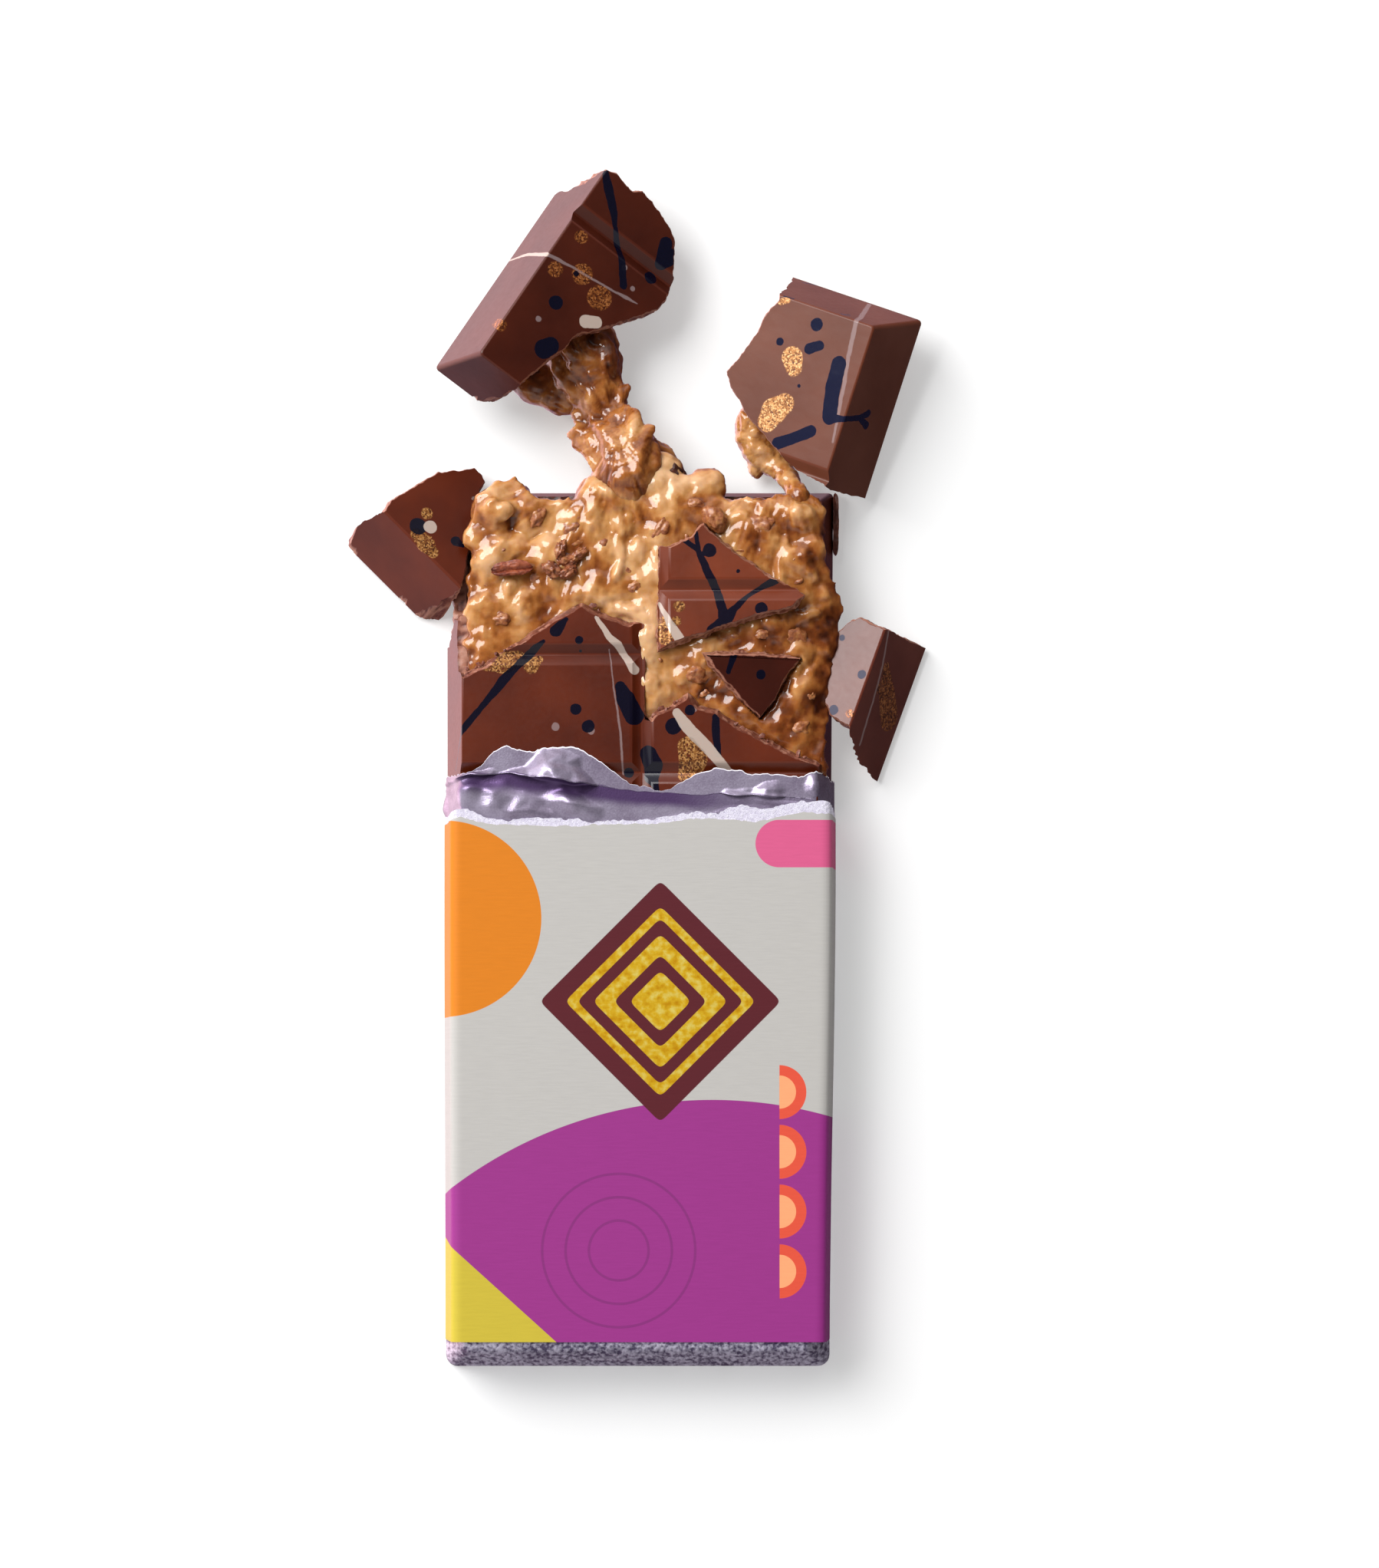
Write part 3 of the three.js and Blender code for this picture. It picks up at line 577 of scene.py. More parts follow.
def map_mould(obj, origin=(0, 0), top=BAR_TOP):
    """Unfolds the moulded faces in millimetres: the top face as it is, and the side walls folded up."""
    unfold = math.hypot(1, LEAN) - LEAN
    with editing(obj) as bm:
        layer = bm.loops.layers.uv.new("mould")
        for face in bm.faces:
            nx, ny = abs(face.normal.x), abs(face.normal.y)
            upright = face.normal.z < UPRIGHT
            for loop in face.loops:
                x, y, z = loop.vert.co
                u, v = x + origin[0], y + origin[1]
                fold = unfold * max(0, top - z)
                if upright and nx >= ny and abs(u) > TOP_HALF_WIDTH - WALL_BAND:
                    u += math.copysign(fold, u)
                elif upright and ny > nx and abs(v) > TOP_HALF_LENGTH - WALL_BAND:
                    v += math.copysign(fold, v)
                loop[layer].uv = (u - origin[0], v - origin[1])
    return obj


# Loose fragments of the shell

# Outlines and marks are in millimetres about "origin", a point of the whole bar's top face. A fragment is
# turned by "turn" degrees, tipped down by "tip" degrees the way that "tip_towards" points, and set down with
# its origin "at".
# Each fragment's browns, powders and blue are painted light and shade: the one milk chocolate is painted
# lighter on pieces turned to the lamp and darker on pieces in shade.
FRAGMENTS = {
    "left_corner_piece": {
        "origin": (-TOP_HALF_WIDTH, TOP_HALF_LENGTH), "at": (-30.9, 110.9), "turn": 55.4,
        "tip_towards": (0.99, 0.12), "tip": 18.8, "browns": ("360F05", "4A1A0B"), "gloss": 0.38,
        "powders": SHADED_POWDER,
        "outline": [
            (-5, 5), (-5, -3.5), (-3.3, -3.8), (-2.8, -7.2), (-1.9, -9.1), (-0.7, -9.9), (3.5, -11),
            (9.7, -12.9), (15.1, -13.9), (18.9, -17), (22.8, -20), (25.7, -22), (29.1, -24), (32.2, -24.6),
            (36.1, -23.4), (39.1, -21.6), (42.7, -19.4), (44.3, -17.2), (46.2, -11.2), (46.8, -8.3),
            (45.6, -6.9), (46.4, -2.2), (45.6, -0.1), (41.2, 1.5), (39.5, 3.6), (39, 5),
        ],
        "navy": [
            [
                (45.2, 0, 0.6), (42.7, -2.5, 1.0), (39.6, -5.9, 0.8), (37.3, -7.9, 0.4), (33, -12.5, 0.7),
                (28.8, -15.7, 0.8),
            ],
            [(39.1, -20, 1.8), (37.4, -19.5, 1.4), (41, -18, 1.3)], [(33.6, -19.4, 1.3)],
            [(24.8, -6.7, 0.55)], [(17.6, -6.7, 1.4)], [(8.6, -9.9, 1.9), (10, -10.6, 1.7)],
        ],
        "bronze": [
            [(31.4, -3.5, 1.3)], [(22.9, -2.9, 1.55)], [(25.5, -7.8, 2.1)], [(23.8, -13.2, 2.5)],
            [(7.2, -0.3, 1.2), (7.6, 2.2, 0.9)],
        ],
        "white": [
            [(23.4, 15, 0.2), (24.7, 9, 0.35), (24.4, 0.3, 0.5)], [(18.2, -13.6, 1.3), (19.4, -15.4, 1.2)],
        ],
        "pale": [
            [(24.4, 0, 0.4), (25.3, -5, 0.25), (26.7, -15.3, 0.2), (27.2, -17.5, 0.35), (27.5, -20, 0.1)],
            [(12.8, -5.7, 0.6)], [(31.8, -13.9, 0.6)], [(29.4, -17.6, 0.5)],
        ],
    },
    "right_corner_piece": {
        "origin": (TOP_HALF_WIDTH, TOP_HALF_LENGTH), "at": (45.4, 116.3), "turn": -19.8,
        "tip_towards": (-0.994, -0.11), "tip": 23.3, "first_row": CORNER_ROW, "browns": ("5E2E1C", "6C3A28"),
        "gloss": 0.32, "powders": LIT_POWDER, "paint_rough": 0.1, "blue": "0F1630",
        "outline": [
            (5, 5), (-26, 5), (-24.3, 3.1), (-21.4, 0.3), (-21, -1.1), (-22.8, -4.8), (-23.3, -8.6),
            (-24.5, -11.8), (-25.6, -14.9), (-27, -17.6), (-24.9, -20.2), (-20.7, -24.1), (-17.3, -25.9),
            (-12.5, -28.6), (-6.9, -31.2), (-4, -31.8), (-0.7, -32.1), (0.7, -32.7), (5, -32.6),
        ],
        "navy": [
            [(-11.6, -3.2, 1.3)], [(-17.9, -8.7, 0.8)], [(-11.2, -15.6, 0.35)],
            [(-11.5, -8.1, 1.1), (-9.7, -6.9, 1.0)], [(-4.7, -9, 1.5), (-4.3, -14, 1.6), (-3.2, -19.4, 1.5)],
            [(-11.9, -27.6, 1.2), (-9.2, -25.7, 1.1), (-6, -23.2, 1.2)],
            [(-2.2, -19.4, 0.9), (-0.6, -18.9, 0.6), (4.6, -17.9, 0.55), (7, -16.7, 0.8)],
            [(4.6, -17.9, 0.5), (7.6, -19, 0.8)], [(-22.5, 13.5, 0.2), (-20, 15, 0.25)],
            [(-7.6, 0.9, 0.3), (-6.5, 1.9, 0.3)], [(-20, 0.1, 0.2), (-18, 0.3, 0.2)],
        ],
        "bronze": [
            [(-14.4, -10.8, 2.2), (-13.4, -12.6, 1.7)],
            [(-15.3, -24.2, 2.0), (-14.6, -21.8, 2.7), (-13, -19.8, 2.0)],
            [(-20.2, -1.3, 0.6), (-19.1, -0.6, 0.6)],
        ],
        "pale": [
            [
                (-7.9, 14, 0.4), (-4.3, 2.5, 0.5), (-3.9, -1, 0.45), (-3.2, -7.2, 0.4), (-2.3, -12.7, 0.4),
                (-1.5, -19.2, 0.3), (-0.9, -23.7, 0.2),
            ],
        ],
    },
    "left_wall_piece": {
        "origin": (-TOP_HALF_WIDTH, 78), "at": (-49.6, 81.1), "turn": 45, "tip_towards": (0.707, 0.707),
        "tip": 26.4, "gloss": 0.3,
        "outline": [
            (0, 0.4), (3, 1.2), (7.4, 0.4), (15, -0.9), (17.4, -2.5), (21.2, -5.1), (21.6, -7), (20.8, -8.7),
            (18.6, -9.2), (17.2, -10.8), (12.6, -13), (10.9, -14.6), (8.2, -16.2), (5, -18.1), (1, -20.7),
            (0, -21.1), (-1.1, -19.9), (-2.7, -18.1), (-3, -17), (-3.1, -15.3), (-2.9, -14.1), (-3.1, -12.9),
            (-3.7, -11.3), (-3.7, -2), (-3.1, -0.4), (-2.3, 1.5), (-1.9, 2.3), (-1, 1.4),
        ],
        "navy": [[(3, -6.3, 1.75)], [(6.6, -13.5, 1.1), (6.9, -15, 0.4)]],
        "bronze": [[(6.4, -5.6, 1.2)], [(1.6, -7.5, 1.4), (1.4, -9.8, 2.0), (1.2, -12, 1.2)]],
        "white": [[(4.8, -8, 1.35)]],
    },
    "right_wall_piece": {
        "origin": (TOP_HALF_WIDTH, 80), "at": (47.6, 58.1), "turn": -20, "tip_towards": (-0.939, 0.343),
        "tip": 22.7, "browns": ("58261A", "6C3426"), "gloss": 0.52, "powders": SHADED_POWDER,
        "paint_rough": 0.5, "blue": "12123A",
        "outline": [
            (0, 0.2), (-5.8, 0.9), (-7.6, -0.1), (-9.9, -3.7), (-11.1, -6.6), (-11.0, -9.1), (-11.1, -11.3),
            (-10.3, -13.5), (-8.7, -15.4), (-6.2, -17.7), (-5.2, -19), (-2.3, -19.9), (-0.3, -20.1),
            (0.4, -22.2), (0.9, -23.7), (1.7, -25.2), (2.8, -26.4), (3.6, -27.2), (5, -27.4), (5, 0.1),
        ],
        "navy": [[(-1.4, -9.6, 0.9)], [(-4.4, -17.9, 1.0)], [(-7.9, -4, 0.6)]],
        "bronze": [
            [(-0.9, -17.6, 0.9)], [(4.6, -6.4, 0.9), (8.0, -11.2, 2.4), (11.5, -15.2, 2.6)],
            [(5.2, -10.6, 1.2)],
        ],
        "pale": [[(1.3, 0.1, 0.22), (3.4, -6.7, 0.25), (4.3, -12.8, 0.25), (5.2, -22.3, 0.25)]],
    },
}

# Splinters of the top face alone, which lie on the filling
SPLINTERS = {
    "top_shard": {
        "origin": (2, 53.9), "at": (5.3, 66.4), "turn": 0, "tip_towards": (-0.5, 0.87), "tip": 2.4,
        "rise": 16.8, "browns": ("5C2410", "76331A"), "gloss": 0.34,
        "outline": [
            (-1.4, 7.9), (0.6, 7.8), (2.8, 8.7), (4.7, 9.8), (5.4, 10.9), (7.1, 12.1), (11.1, 8.3),
            (17.5, 3.6), (26.4, -1.7), (24.7, -4), (17.1, -5.7), (8.1, -8.9), (3.9, -10.1), (-1.6, -12.1),
            (-1.7, -6.1),
        ],
        "navy": [
            [
                (5.6, 10.4, 0.45), (6, 7, 0.5), (7.7, 3.1, 0.8), (9.6, -0.7, 0.75), (10.7, -4.5, 0.9),
                (11.3, -6.6, 1.4),
            ],
            [(3.5, 8.9, 0.5), (6, 7, 0.5)],
            [(11.5, -6.4, 1.3), (13, -4.5, 0.7), (15.7, -1.8, 0.45), (18.3, -0.1, 0.5), (21, 1.2, 0.8)],
            [(11.5, -6.4, 1.2), (8.5, -8.5, 0.8)], [(8.2, 7, 1.35)], [(8.2, 7, 0.7), (6.6, 6.2, 0.5)],
            [(18.3, -4.4, 1.25)], [(13.8, 2.9, 0.4)],
        ],
        "bronze": [
            [(2.3, -3.9, 1.1)], [(1.8, -6.8, 0.9)], [(-1, -6.6, 0.8), (-0.6, -8.2, 1.2), (-0.3, -10, 1.4)],
        ],
        "white": [[(-1.6, -3.2, 0.3), (0.5, -7.2, 0.7), (2.8, -11, 1.1)]],
    },
    "top_chip": {
        "origin": (18, 43), "at": (22, 47.8), "turn": 0, "tip_towards": (0.75, -0.66), "tip": 13,
        "rise": 15.4, "browns": ("341007", "48180D"),
        "outline": [
            (-9.4, 5.4), (-5.6, 5.6), (0.8, 5.6), (9.4, 4.7), (6.8, 1.4), (3.9, -4), (1.5, -6.8), (-1.7, -4),
            (-4.8, -0.2), (-7.9, 2.8),
        ],
        "navy": [[(-3.8, 5.6, 0.7), (-4.9, 2.1, 0.5)], [(1.5, 1.5, 0.95)]],
    },
}


def placing(obj, at, turn, tip_towards, tip, rise=None):
    """Turned flat, then tipped, then set down to just reach the table, or raised to lie on the filling."""
    axis = Vector((-tip_towards[1], tip_towards[0], 0)).normalized()
    rotation = Quaternion(axis, math.radians(tip)) @ Quaternion((0, 0, 1), math.radians(turn))
    shift(obj, rotation.to_matrix().to_4x4())
    lowest = min(v.co.z for v in obj.data.vertices)
    return shift(obj, Matrix.Translation((at[0], at[1], -lowest if rise is None else rise)))


# How a fragment's sides broke, from the inside to the moulded face: z, how far out, how rough
WALL_BREAK = (
    (-17, 0.5, 0.5), (-12.5, 0.3, 0.5), (-10, 0.2, 0.5), (-8, 0.2, 0.5), (-6.5, 0.15, 0.45), (-5.2, 0.1, 0.4),
    (-4.2, 0.1, 0.35), (-3.4, 0.1, 0.3), (-2.6, 0.1, 0.25), (-1.9, 0.05, 0.25), (-1.2, 0, 0.2),
    (-0.6, -0.05, 0.15), (-0.25, -0.15, 0.15), (0.03, -0.4, 0.2), (3, -0.4, 0.2),
)
PLATE_BREAK = (
    (-SHELL + 0.4, 0.35, 0.4), (-2.1, 0.35, 0.35), (-1.6, 0.2, 0.3), (-1.1, 0.1, 0.25), (-0.6, 0, 0.2),
    (-0.25, -0.1, 0.15), (0.03, -0.35, 0.2), (3, -0.35, 0.2),
)
SKIN_FACTS = ("navy", "bronze", "white", "pale", "browns", "gloss", "powders", "paint_rough", "blue")


def fragment(name, facts, seed, levels, rows, hollow):
    """A piece of the moulded bar that broke off along an outline. A hollow one keeps the side walls."""
    marks = {key: facts[key] for key in SKIN_FACTS if key in facts}
    piece = moulded_bar(moulded_chocolate("moulded_chocolate_" + name, seed=seed, **marks),
                        facts.get("first_row", FIRST_ROW), rows)
    if hollow:
        cut(piece, cavity(-FAR))
    x, y = facts["origin"]
    shift(piece, Matrix.Translation((-x, -y, -BAR_TOP)))
    cut(piece, rough_prism(facts["outline"], levels, seed), "INTERSECT")
    map_mould(piece, (x, y), 0)
    placing(piece, facts["at"], facts["turn"], facts["tip_towards"], facts["tip"], facts.get("rise"))
    return finish_piece(smooth(mark_rims(piece)), "moulded_" + name, name)


# The bar itself

LEFT_PLATE_BREAK = [
    (COLUMN_GROOVE_X, 58.9), (-2.2, 59), (-5.1, 59.7), (-9.3, 61.3), (-11.3, 62.6), (-15, 60.6),
    (-17.3, 59.3), (-19, 57.9), (-21.8, 56), (-24.4, 54.5), (-28.1, 51.9), (-30.6, 50.2), (-34.2, 48.8),
    (-40, 50.6),
]
RIGHT_PLATE_BREAK = [
    (40, 29), (35.2, 30.9), (29, 33.8), (23.9, 36.2), (18.8, 38.9), (14.7, 41.7), (11.1, 42.6), (9.3, 45.1),
    (7.8, 43.7), (6, 42.4), (3.4, 41.5), (2.4, 40.2), (COLUMN_GROOVE_X, 40.1),
]
CHIPPED_EDGE = [(-42, 54.4), (-37.4, 55.6), (-36.7, 59), (-36.5, 63.5), (-37.2, 67), (-42, 68.5)]
BAR_MARKS = {
    "navy": [
        [(-14.3, 60.1, 0.4), (-15.3, 59, 0.9), (-16.3, 57.8, 1.15)], [(-11.8, 56, 0.8)], [(-11.5, 54, 0.25)],
        [
            (-18.6, 55.8, 0.3), (-20.2, 54.6, 0.7), (-21.9, 52.8, 0.9), (-23.9, 50.9, 0.7),
            (-26.4, 48.3, 1.0), (-28.4, 45.7, 0.75), (-31, 42.6, 0.6), (-34.1, 38.9, 0.7), (-37.5, 35.3, 0.3),
            (-41, 31, 0.2),
        ],
        [(-12.4, 42.6, 1.1)], [(-10, 39.3, 1.25)], [(-3.8, 47, 1.0), (-2.8, 44.6, 1.8), (-1.1, 41.4, 1.9)],
        [(-2.1, 30.3, 1.0)], [(6.5, 39.3, 1.6)], [(9.7, 42.4, 1.0)],
        [(14.7, 41, 0.75), (14.8, 37.2, 0.8), (15.2, 33.8, 0.6)],
        [(1.6, 34, 1.6), (2.6, 31.8, 1.9), (2.3, 29.4, 1.4), (3.2, 27.4, 0.6), (3.2, 24, 0.7)],
    ],
    "bronze": [
        [(-29.6, 51.1, 1.1), (-26.4, 51.7, 2.2), (-23.6, 52.3, 1.7)], [(-21, 51.1, 1.6), (-19.6, 52.3, 0.8)],
        [(9.2, 35.4, 1.9), (10.3, 32.8, 2.8), (9.3, 30, 1.9)],
    ],
    "white": [
        [(-8.4, 60.4, 0.4), (-5.9, 56.6, 0.65), (-4.2, 55.1, 0.75), (-2.8, 52.8, 0.65), (-1.1, 50.3, 0.95)],
        [(7.2, 41.9, 0.9), (9.3, 39, 1.2), (12.4, 35.9, 1.15), (14.7, 33.3, 1.05), (17.5, 30, 0.9)],
    ],
    "pale": [
        [(-9.4, 38.4, 0.7)], [(-16.3, 39.2, 0.8)], [(10.6, 42.6, 0.5)],
        [(-5.9, 54.3, 0.1), (-5.1, 47.1, 0.15), (-3.8, 38.6, 0.22), (-3.2, 30.1, 0.2)],
    ],
}


# How high the walls still stand along the opened end, as rows of (up to which y, height), and where each wall
# starts
RIGHT_WALL_TOPS = ((32.5, FAR), (54.5, 9.2), (67, 7.2), (math.inf, 11.6))
LEFT_WALL_TOPS = ((51.8, FAR), (61, 11.4), (math.inf, 6.2))
END_WALL_TOP = ((math.inf, 6.4),)
RIGHT_WALL_X = 32
LEFT_WALL_X = -31
END_WALL_Y = 78.5
SHADED_X, SHADED_Y = 30, 82  # beyond these, the broken tops get the darker broken chocolate: painted shade
WALL_WANDER = 1.5  # how far the steps between the heights wander
WALL_ROUGHNESS = ((5, 33, 0.9), (1.6, 34, 0.5))  # size, seed and height
GROUND_STEP = 0.8

# How the opened top face and the chipped left edge broke: z, how far out, how rough
OPENED_BREAK = (
    (CAVITY_TOP - 0.5, -1.0, 0.2), (CAVITY_TOP + 0.3, -0.95, 0.2), (CAVITY_TOP + 0.9, -0.8, 0.15),
    (CAVITY_TOP + 1.5, -0.65, 0.12), (CAVITY_TOP + 2.1, -0.4, 0.1), (BAR_TOP - 0.4, -0.15, 0.1),
    (BAR_TOP + 0.03, 0.2, 0.12), (BAR_TOP + 3, 0.2, 0.12),
)
CHIP_BREAK = ((-1, 0, 0.2), (2, 0, 0.4), (4, 0.1, 0.4), (6, 0.1, 0.4), (9, 0.2, 0.4), (16, 0.2, 0.4))


def wall_height(x, y):
    """How high the side walls still stand around the opened end."""
    if x > RIGHT_WALL_X:
        tops = RIGHT_WALL_TOPS
    elif y > END_WALL_Y:
        tops = END_WALL_TOP
    else:
        tops = LEFT_WALL_TOPS if x < LEFT_WALL_X else ()
    return next((height for limit, height in tops if y < limit), FAR)


def wall_cutter():
    """Takes the broken tops of the walls away, over a rough ground."""
    def ground(x, y):
        wobble = WALL_WANDER * grain(x, y, 0, 9, 31)
        return min(wall_height(x + wobble, y + 2 * wobble) + layered(x, y, 0, WALL_ROUGHNESS), FAR)

    width, low, high = 84, 27, 90
    columns, rows = int(width / GROUND_STEP), int((high - low) / GROUND_STEP)
    bm = slab(width, low, high, columns, rows, ground, lambda x, y: FAR + 5)
    for face in bm.faces:
        middle = face.calc_center_median()
        # painted shade: faces past these get the darker broken chocolate
        face.material_index = 1 if middle.x > SHADED_X or middle.y > SHADED_Y else 0
    return object_of("cutter", bm, BROKEN, DARK_BROKEN)


def bar_shell():
    """The bar's shell, broken open at its far end."""
    bar = moulded_bar(moulded_chocolate("moulded_chocolate_bar", seed=1.0, **BAR_MARKS))
    cut(bar, cavity())
    opened = RIGHT_PLATE_BREAK + LEFT_PLATE_BREAK + [(-45, 100), (45, 100)]
    cut(bar, rough_prism(opened, OPENED_BREAK, 11))
    cut(bar, rough_prism(CHIPPED_EDGE, CHIP_BREAK, 12))
    cut(bar, wall_cutter())
    map_mould(bar)
    return finish_piece(smooth(mark_rims(squeeze_end(bar))), "moulded_bar_shell", "bar_shell")


# The filling

FILLING_OUTLINE = [
    (-32.4, 84.6), (-29, 87.2), (-24.2, 89), (-19.6, 84.2), (-11.5, 84.2), (-8.7, 87.5), (-6.6, 90.4),
    (4.3, 90.4), (6.8, 87.5), (14.6, 84.2), (34.2, 84.8), (36.3, 82.4), (36.1, 76), (37, 71.1), (38.6, 66.9),
    (40.3, 62.1), (39.4, 58.6), (38.2, 54), (37.6, 50), (36.9, 45.5), (36.7, 39.2), (36.4, 29.5), (24, 32),
    (8, 36.5), (-4, 37), (-34, 47), (-34.8, 54.7), (-34, 58.2), (-34.8, 61.7), (-34, 66), (-33.4, 73.9),
    (-33.8, 79.3),
]
# Soft lumps in the filling, broad ones first: count, least and most radius, how deep they sit
LUMP_SIZES = ((64, 2.8, 4.8, 0.62), (90, 1.4, 2.6, 0.45), (50, 0.6, 1.2, 0.3))
LUMP_FIELD = ((-35, 39), (36, 90))  # the x and the y that they are spread over
ROPE_FIELD = ((-33, 36), (42, 88))
BIT_FIELD = ((-33, 36), (42, 87))
ROPES = 46
ROPE_RADIUS = (0.7, 1.4)
ROPE_LENGTH = (4, 9)
LEFT_PULL_FOOT = (-4, 97)
RIGHT_PULL_FOOT = (28, 95)
BETWEEN_PULLS = (5, 18)  # the x where the flow turns from the left pull to the right one

# The filling's tones, as shares of its colour ramp
CREAM_TONE = 0.51
CREST_TONE = 0.36  # painted light on crests and shade in folds: a tone for each millimetre that a fold stands out
STANDING_TONE = 0.1  # and for each that a place stands above the mound: painted light on high places, painted shade on low ones
MOST_STANDING = 0.12
# painted shade where the filling dips
HOLLOW_SHADE = 0.08
LEFT_PULL_TONE, RIGHT_PULL_TONE = -0.08, -0.01
NUT_TONE = 0.6
LOWER_RIGHT_SHADE = 0.15  # painted shade: the filling is darker towards its lower right, away from the lamp
PALE_MIDDLE = 0.05  # and palest in its middle
PALE_MIDDLE_X, PALE_MIDDLE_REACH = 3, 9
UNDER_PIECE_SHADE = 0.08  # painted shade: and darker under the left corner piece

STREAK_HEIGHT = 0.2
FOLDS = ((5, 0, 0.36), (1.8, 1, 0.11))  # and the folds between the streaks: size, seed and height
# Coated nuts that show through the cream: x, y, half their length and width, how they lie, and how dark the
# cream is there
COATED_NUTS = (
    (-12.8, 78.5, 2.7, 1.6, 0.5, 0.15), (4.4, 78.2, 2.7, 1.3, 0.9, 0.12), (-26.9, 60.7, 2.1, 1.7, 0.0, 0.2),
    (10.8, 82.8, 1.5, 1.1, 0.0, 0.4), (23.6, 57.4, 1.8, 1.3, 0.3, 0.3), (29.7, 56.6, 3.6, 2.7, -0.4, 0.2),
    (33, 45.6, 1.3, 1.1, 0.0, 0.3), (11.1, 49.8, 3.0, 2.3, 0.3, 0.15), (12.6, 45.8, 1.5, 1.2, 0.0, 0.3),
    (31, 38.8, 2.4, 1.8, 0.4, 0.1), (23.6, 78.6, 2.9, 2.2, 0.0, 0.15), (-28.7, 83.1, 0.8, 0.8, 0.0, 0.1),
    (-1, 66.7, 1.7, 1.2, 0.4, 0.15), (-20, 80.4, 2.2, 1.5, 1.0, 0.2),
)
# Where the filling swells or dips beside what lies on it: x, y, how far it reaches and how high
SWELLS = (
    (12, 55, 6, 1.3), (22, 59.5, 6, 1.3), (30, 62.5, 5, 0.7), (28.6, 46.6, 2.6, -1.3),
    (25.8, 42.6, 2.6, -1.2), (-28, 81.5, 3.2, 1.8), (-21.4, 81.8, 2.8, 1.4), (-24.7, 78.6, 2, -2.4),
    (-20.3, 76.4, 1.8, -1.8), (22, 78, 3, 1.3), (32.5, 80, 2.4, 1.8), (29, 76.6, 1.7, -2.2),
    (32, 72.5, 2.6, 1.3), (26.4, 70.4, 1.8, -1.2), (-31.6, 67, 2.4, -1.2), (-9, 62.5, 1.6, -1.2),
    (-3, 84, 3.4, 1.2), (5, 76, 3.4, 1.0),
)
FILLING_GRAIN = 0.42  # the finest fold that the filling's mesh holds, and the pulls' meshes
PULL_GRAIN = 0.38
SPILL_FLOOR = 4
MOUND = 12.4  # the filling's height under the plates
MOUND_RISE = 1.0  # how much higher it stands in the open
MOUND_WAVES = ((17, 41, 1.1), (7, 42, 0.7))  # size, seed and height
MOUND_FALL_LEFT, MOUND_FALL_RIGHT = 2.2, 1.6  # how much it has fallen at its outer edges
MOUND_EDGE_X, MOUND_EDGE_Y, MOUND_EDGE_WIDTH = 27, 80, 9  # where it begins to fall, and over how far
SPLINTER_THICK = 2.4
UNDER_SPLINTER = 0.96  # a splinter holds the filling down a little past its outline too
# The filling's sides: z, how far out, how rough
FILLING_SIDES = (
    (SPILL_FLOOR - 1, -2.4, 0.3), (7, -1.6, 0.6), (9, -0.8, 0.7), (11, -0.4, 0.8), (13, -0.8, 0.8),
    (18, -1, 0.8),
)


def inside(outline, x, y):
    """Whether a place is in a closed outline."""
    odd = False
    for (ax, ay), (bx, by) in zip(outline, outline[1:] + outline[:1]):
        if (ay > y) != (by > y) and x < ax + (y - ay) * (bx - ax) / (by - ay):
            odd = not odd
    return odd


def along_line(points, x):
    """The second value of a row of points, read off at a first value."""
    for (ax, ay), (bx, by) in zip(points, points[1:]):
        if ax <= x <= bx:
            return ay + (by - ay) * (x - ax) / max(bx - ax, 1e-6)
    return points[0][1] if x < points[0][0] else points[-1][1]


def plate_edge(x):
    """How far along the bar the unbroken top face still reaches."""
    return along_line((LEFT_PLATE_BREAK if x < COLUMN_GROOVE_X else RIGHT_PLATE_BREAK)[::-1], x)


def swelling(x, y):
    """How far the filling swells or dips beside what lies on it."""
    return sum(high * math.exp(-((x - sx) ** 2 + (y - sy) ** 2) / reach ** 2)
               for sx, sy, reach, high in SWELLS)


def mound_height(x, y):
    """The uneven top of the opened filling: low under the plates and towards its outer edges."""
    sideways = max(0, (abs(x) - MOUND_EDGE_X) / MOUND_EDGE_WIDTH) ** 2
    lengthwise = max(0, (y - MOUND_EDGE_Y) / MOUND_EDGE_WIDTH) ** 2
    fall = (MOUND_FALL_LEFT if x < 0 else MOUND_FALL_RIGHT) * (sideways + lengthwise)
    clear = ease(y - plate_edge(x), -0.5, 4)
    return MOUND + clear * (MOUND_RISE + layered(x, y, 0, MOUND_WAVES) + swelling(x, y) - fall)


def lies_bare(x, y, inset, ahead, clear):
    """Whether a place is well inside the filling's outline and clear of the plates' broken edges."""
    return inside(FILLING_OUTLINE, x * inset, y + ahead) and y >= plate_edge(x) + clear


def ceiling(x, y):
    """The height that the filling stays under, beneath the splinters that lie on it."""
    height = FAR
    for facts in SPLINTERS.values():
        ax, ay = facts["at"]
        if inside(facts["outline"], (x - ax) * UNDER_SPLINTER, (y - ay) * UNDER_SPLINTER):
            tx, ty = facts["tip_towards"]
            slope = math.tan(math.radians(facts["tip"])) / math.hypot(tx, ty)
            height = min(height, facts["rise"] - ((x - ax) * tx + (y - ay) * ty) * slope - SPLINTER_THICK)
    return height


def ball_template(steps):
    """The ball that every lump is a copy of."""
    bm = bmesh.new()
    bmesh.ops.create_icosphere(bm, subdivisions=steps, radius=1)
    mesh = bpy.data.meshes.new("ball")
    bm.to_mesh(mesh)
    bm.free()
    return mesh


BALL = ball_template(2)


def lump(bm, place, sizes, turn=0.0, tilt=0.0):
    """Adds a soft lump of filling, which creamy melts into the rest."""
    copy = BALL.copy()
    rotation = Matrix.Rotation(turn, 4, "Z") @ Matrix.Rotation(tilt, 4, "Y")
    copy.transform(Matrix.Translation(place) @ rotation @ Matrix.Diagonal((*sizes, 1)))
    bm.from_mesh(copy)
    bpy.data.meshes.remove(copy)


